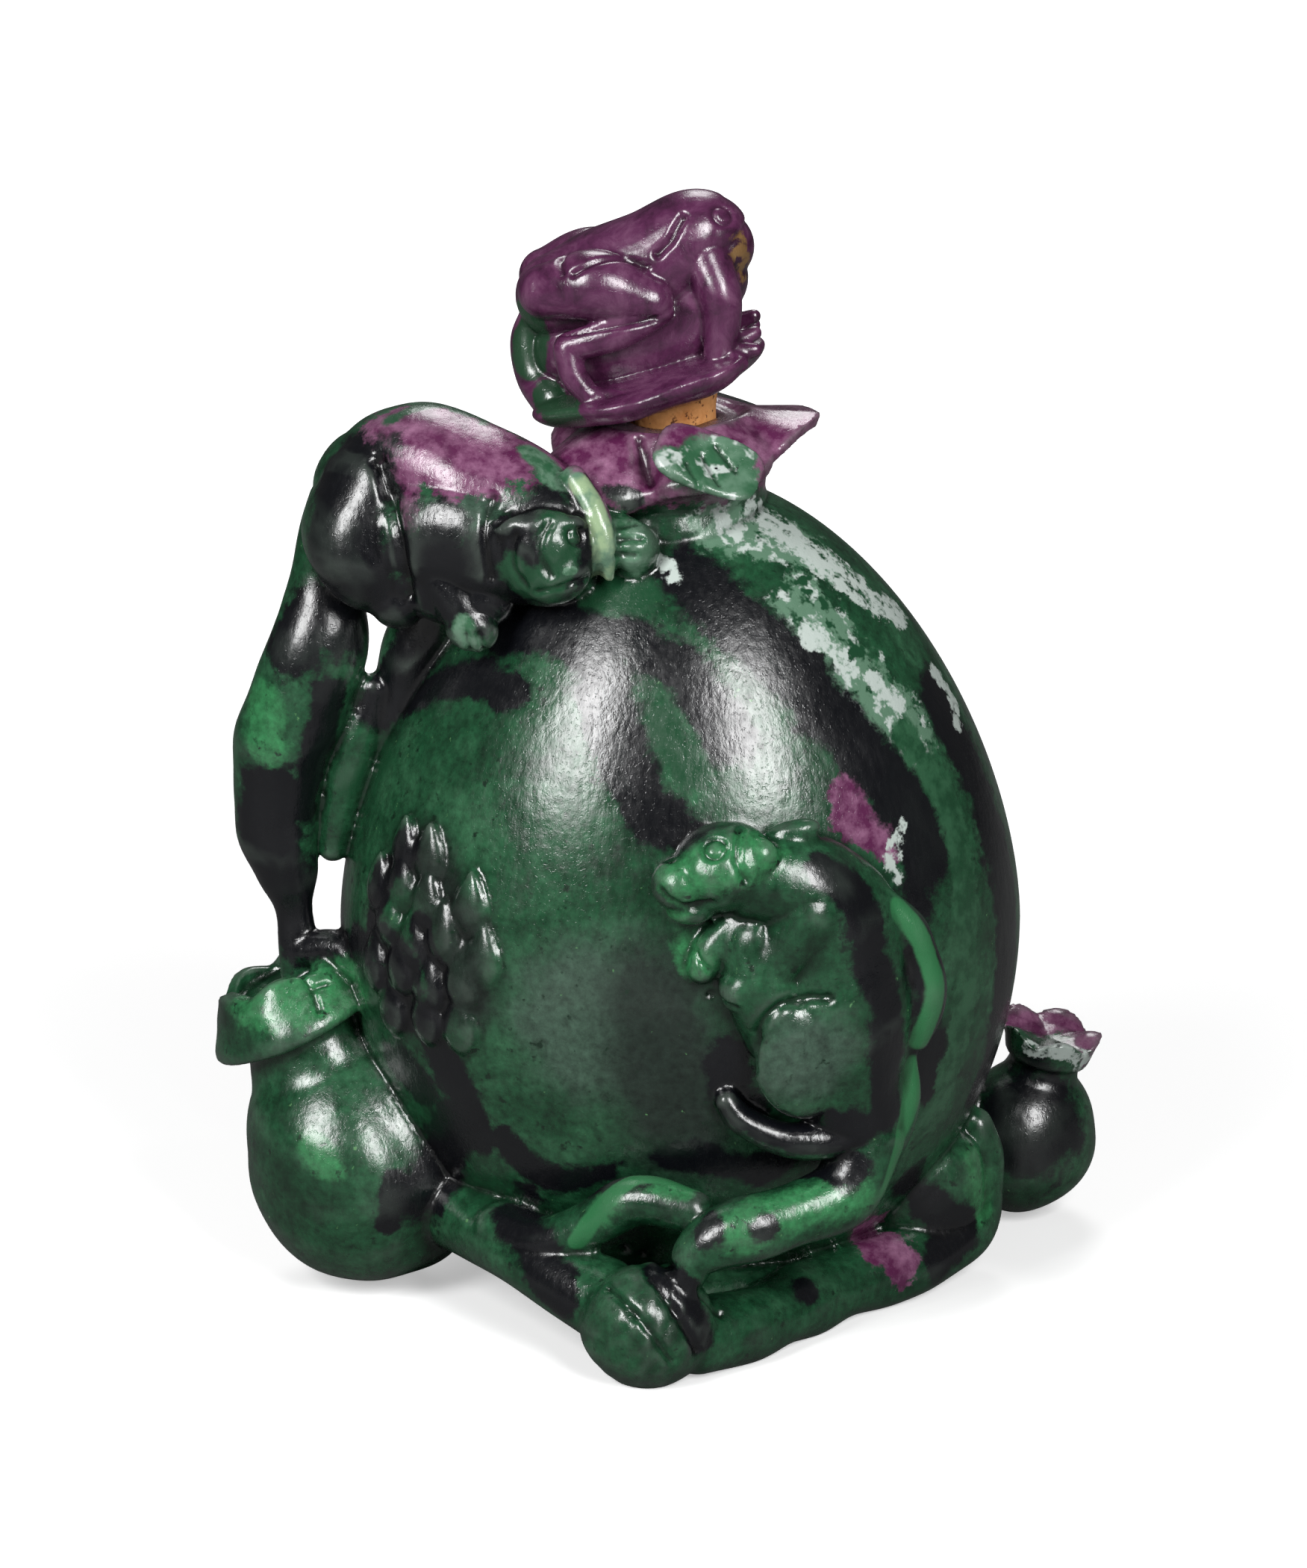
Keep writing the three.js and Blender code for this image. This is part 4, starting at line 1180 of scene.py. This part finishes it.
frogCuts = [
    (0.3, 0.5, [(914, 290), (904, 308), (896, 325), (880, 340)]),  # beside the back
    (0.25, 0.4, [(878, 428), (820, 436), (758, 446)]),  # thigh from shank
    (0.25, 0.3, [(768, 366), (800, 350), (840, 346), (868, 358)]),  # thigh from back
    (0.3, 0.4, [(757, 334), (749, 346), (752, 364)]),  # rump
]
frogRings = [(0.75, 0.2, 0.22, (968, 287))]  # eye
frogZones = {
    "green": [(30, [(705, 430), (712, 480)]), (25, [(735, 530), (760, 560)])],
    "tan": [(15, [(990, 325), (993, 350), (996, 362)])],
}
frogMesh = frogStopper()
cutDetail(frogMesh, frogCuts, frogRings)
paintZones(frogMesh, frogZones, {})
print("frog carved:", len(frogMesh.polygons), "faces")

rubyFinish = {
    "deep": (0.030, 0.005, 0.022), "ruby": (0.090, 0.019, 0.066), "light": (0.200, 0.080, 0.155),
    "green": (0.018, 0.060, 0.028), "tan": (0.200, 0.110, 0.040),
    "roughness": 0.26, "vary": 0.15, "pits": 0.35, "bump": 0.15, "ior": 1.76,
}
rubyLayers = [
    ("green", (520.0, 0.6, 0.06), "green", []),
    ("tan", (900.0, 1.6, 0.12), "tan", [(1100.0, 0.52, 0.08, "deep")]),
]


def rubyMaterial():
    f = rubyFinish
    material, tree, shader, coords = newMaterial("rubyStone")
    colour = ramp(tree, noiseAt(tree, coords, 420.0, 7.0, 0.65, 0.6), [
        (0.30, f["deep"]), (0.50, f["ruby"]), (0.78, f["light"])])
    colour = layered(tree, colour, rubyLayers, f)
    # The frog's hollows get painted shade as well.
    finishStone(tree, shader, paintedHollowShade(tree, colour), f)
    return material


def placePiece(name, mesh, material, node):
    putPoints(mesh, readMesh(mesh)[0] * millimetre)
    mesh.polygons.foreach_set("use_smooth", np.ones(len(mesh.polygons), bool))
    mesh.materials.clear()
    mesh.materials.append(material)
    piece = linked(name, mesh)
    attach(piece, "root")
    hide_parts(node)
    print(name, "placed")


placePiece("carvedBottle", stoneMesh, zoisiteMaterial(), "bottle")
placePiece("frogOnLeaf", frogMesh, rubyMaterial(), "frog_stopper")

# The cork: a turned plug, a little worn, cut off under the slope of the leaf.
corkSizes = {
    "top": 66.0, "bottom": 56.6, "topRadius": 3.15, "bottomRadius": 2.7, "wear": 0.06,
    "slope": 0.29, "cut": 1.6, "sides": 72,
}


def corkPlug():
    s = corkSizes
    turn = roundTurn(s["sides"])
    up = np.linspace(0, 1, 40)[:, None]
    radius = s["bottomRadius"] + (s["topRadius"] - s["bottomRadius"]) * up
    radius = radius + s["wear"] * np.sin(5 * turn + 9 * up) * np.sin(3 * turn - 14 * up)
    slope = s["slope"] * radius * np.cos(turn) - s["cut"]
    height = s["bottom"] + (s["top"] - s["bottom"]) * up + slope * up**3
    floor, lid = lathe(0, s["bottom"], turn), lathe(0, s["top"] - s["cut"], turn)
    grid = np.concatenate([floor, lathe(radius, height, turn), lid])
    return meshFrom("cork", grid.reshape(-1, 3), gridFaces(grid.shape[0], s["sides"], 0))


corkFinish = {
    "light": (0.860, 0.420, 0.150), "dark": (0.600, 0.230, 0.065), "pit": (0.150, 0.045, 0.015),
    "roughness": 0.8, "bump": 0.4,
}


def corkMaterial():
    f = corkFinish
    material, tree, shader, coords = newMaterial("stopperCork")
    colour = ramp(tree, noiseAt(tree, coords, 900.0, 6.0, 0.65), [(0.30, f["dark"]), (0.60, f["light"])])
    pits = placeGroup(tree, fleckGroup, {"Scale": 1400.0, "Level": 0.63, "Soft": 0.04})["Mask"]
    relief = addNode(tree, "ShaderNodeBump", {
        "Strength": f["bump"], "Distance": bumpDepth,
        "Height": maths(tree, "SUBTRACT", noiseAt(tree, coords, 1500.0), pits)})
    feed(tree, shader.inputs["Base Color"], mixColour(tree, pits, colour, f["pit"]))
    feed(tree, shader.inputs["Normal"], relief.outputs["Normal"])
    feed(tree, shader.inputs["Roughness"], f["roughness"])
    return material


placePiece("corkPlug", corkPlug(), corkMaterial(), "cork")


# Light: two tall soft boxes either side of the lens, a weaker one behind, a pale floor and a dim surround.
# Each box has its turn from the lens, its rise in degrees and its power.
light = {
    "boxes": {"leftBox": (-39, 33, 2.7), "rightBox": (28, 33, 2.7), "backBox": (176, 42, 0.9)},
    "distance": 0.6, "width": 0.18, "height": 0.29, "aim": (0, 0, 0.03), "surround": 0.06,
}


def softBox(name, turn, rise, power):
    data = bpy.data.lights.new(name, "AREA")
    data.shape = "RECTANGLE"
    data.size, data.size_y = light["width"], light["height"]
    data.energy = power
    box = linked(name, data)
    a, e = math.radians(turn), math.radians(rise)
    away = np.array([math.sin(a) * math.cos(e), -math.cos(a) * math.cos(e), math.sin(e)])
    box.location = np.array(light["aim"]) + away * light["distance"]
    box.rotation_euler = (math.pi / 2 - e, 0.0, a)


# The floor is white to the lens and darker to other rays, so that black stone stays black.
floorLook = {
    "half": 3.0, "roughness": 0.8, "seen": 0.9, "unseen": 0.14,
    "glowNear": 0.42, "glowFar": 0.9, "near": 0.04, "far": 0.3,
}


def whiteFloor():
    s = floorLook
    material, tree, shader, coords = newMaterial("paleFloor")
    seen = addNode(tree, "ShaderNodeLightPath").outputs["Is Camera Ray"]
    away = addNode(tree, "ShaderNodeVectorMath", {0: coords}, operation="LENGTH").outputs["Value"]
    # The glow is weaker near the stone, a painted shadow on the floor round it, and full far off.
    glow = remap(tree, away, s["near"], s["far"], s["glowNear"], s["glowFar"])
    feed(tree, shader.inputs["Base Color"], mixColour(tree, seen, (s["unseen"],) * 3, (s["seen"],) * 3))
    feed(tree, shader.inputs["Roughness"], s["roughness"])
    feed(tree, shader.inputs["Emission Color"], (1, 1, 1, 1))
    feed(tree, shader.inputs["Emission Strength"], maths(tree, "MULTIPLY", seen, glow))
    corners = np.array([(-1, -1, 0), (1, -1, 0), (1, 1, 0), (-1, 1, 0)], float) * s["half"]
    mesh = meshFrom("floor", corners, np.array([[0, 1, 2, 3]]))
    mesh.materials.append(material)
    floor = linked("floor", mesh)


for name, (turn, rise, power) in light["boxes"].items():
    softBox(name, turn, rise, power)
whiteFloor()

world = bpy.data.worlds.new("surround")
bpy.context.scene.world = world
world.use_nodes = True
surround = world.node_tree.nodes["Background"].inputs
surround["Color"].default_value = (1, 1, 1, 1)
surround["Strength"].default_value = light["surround"]
bpy.context.scene.view_settings.view_transform = "Standard"
print("light and floor set")
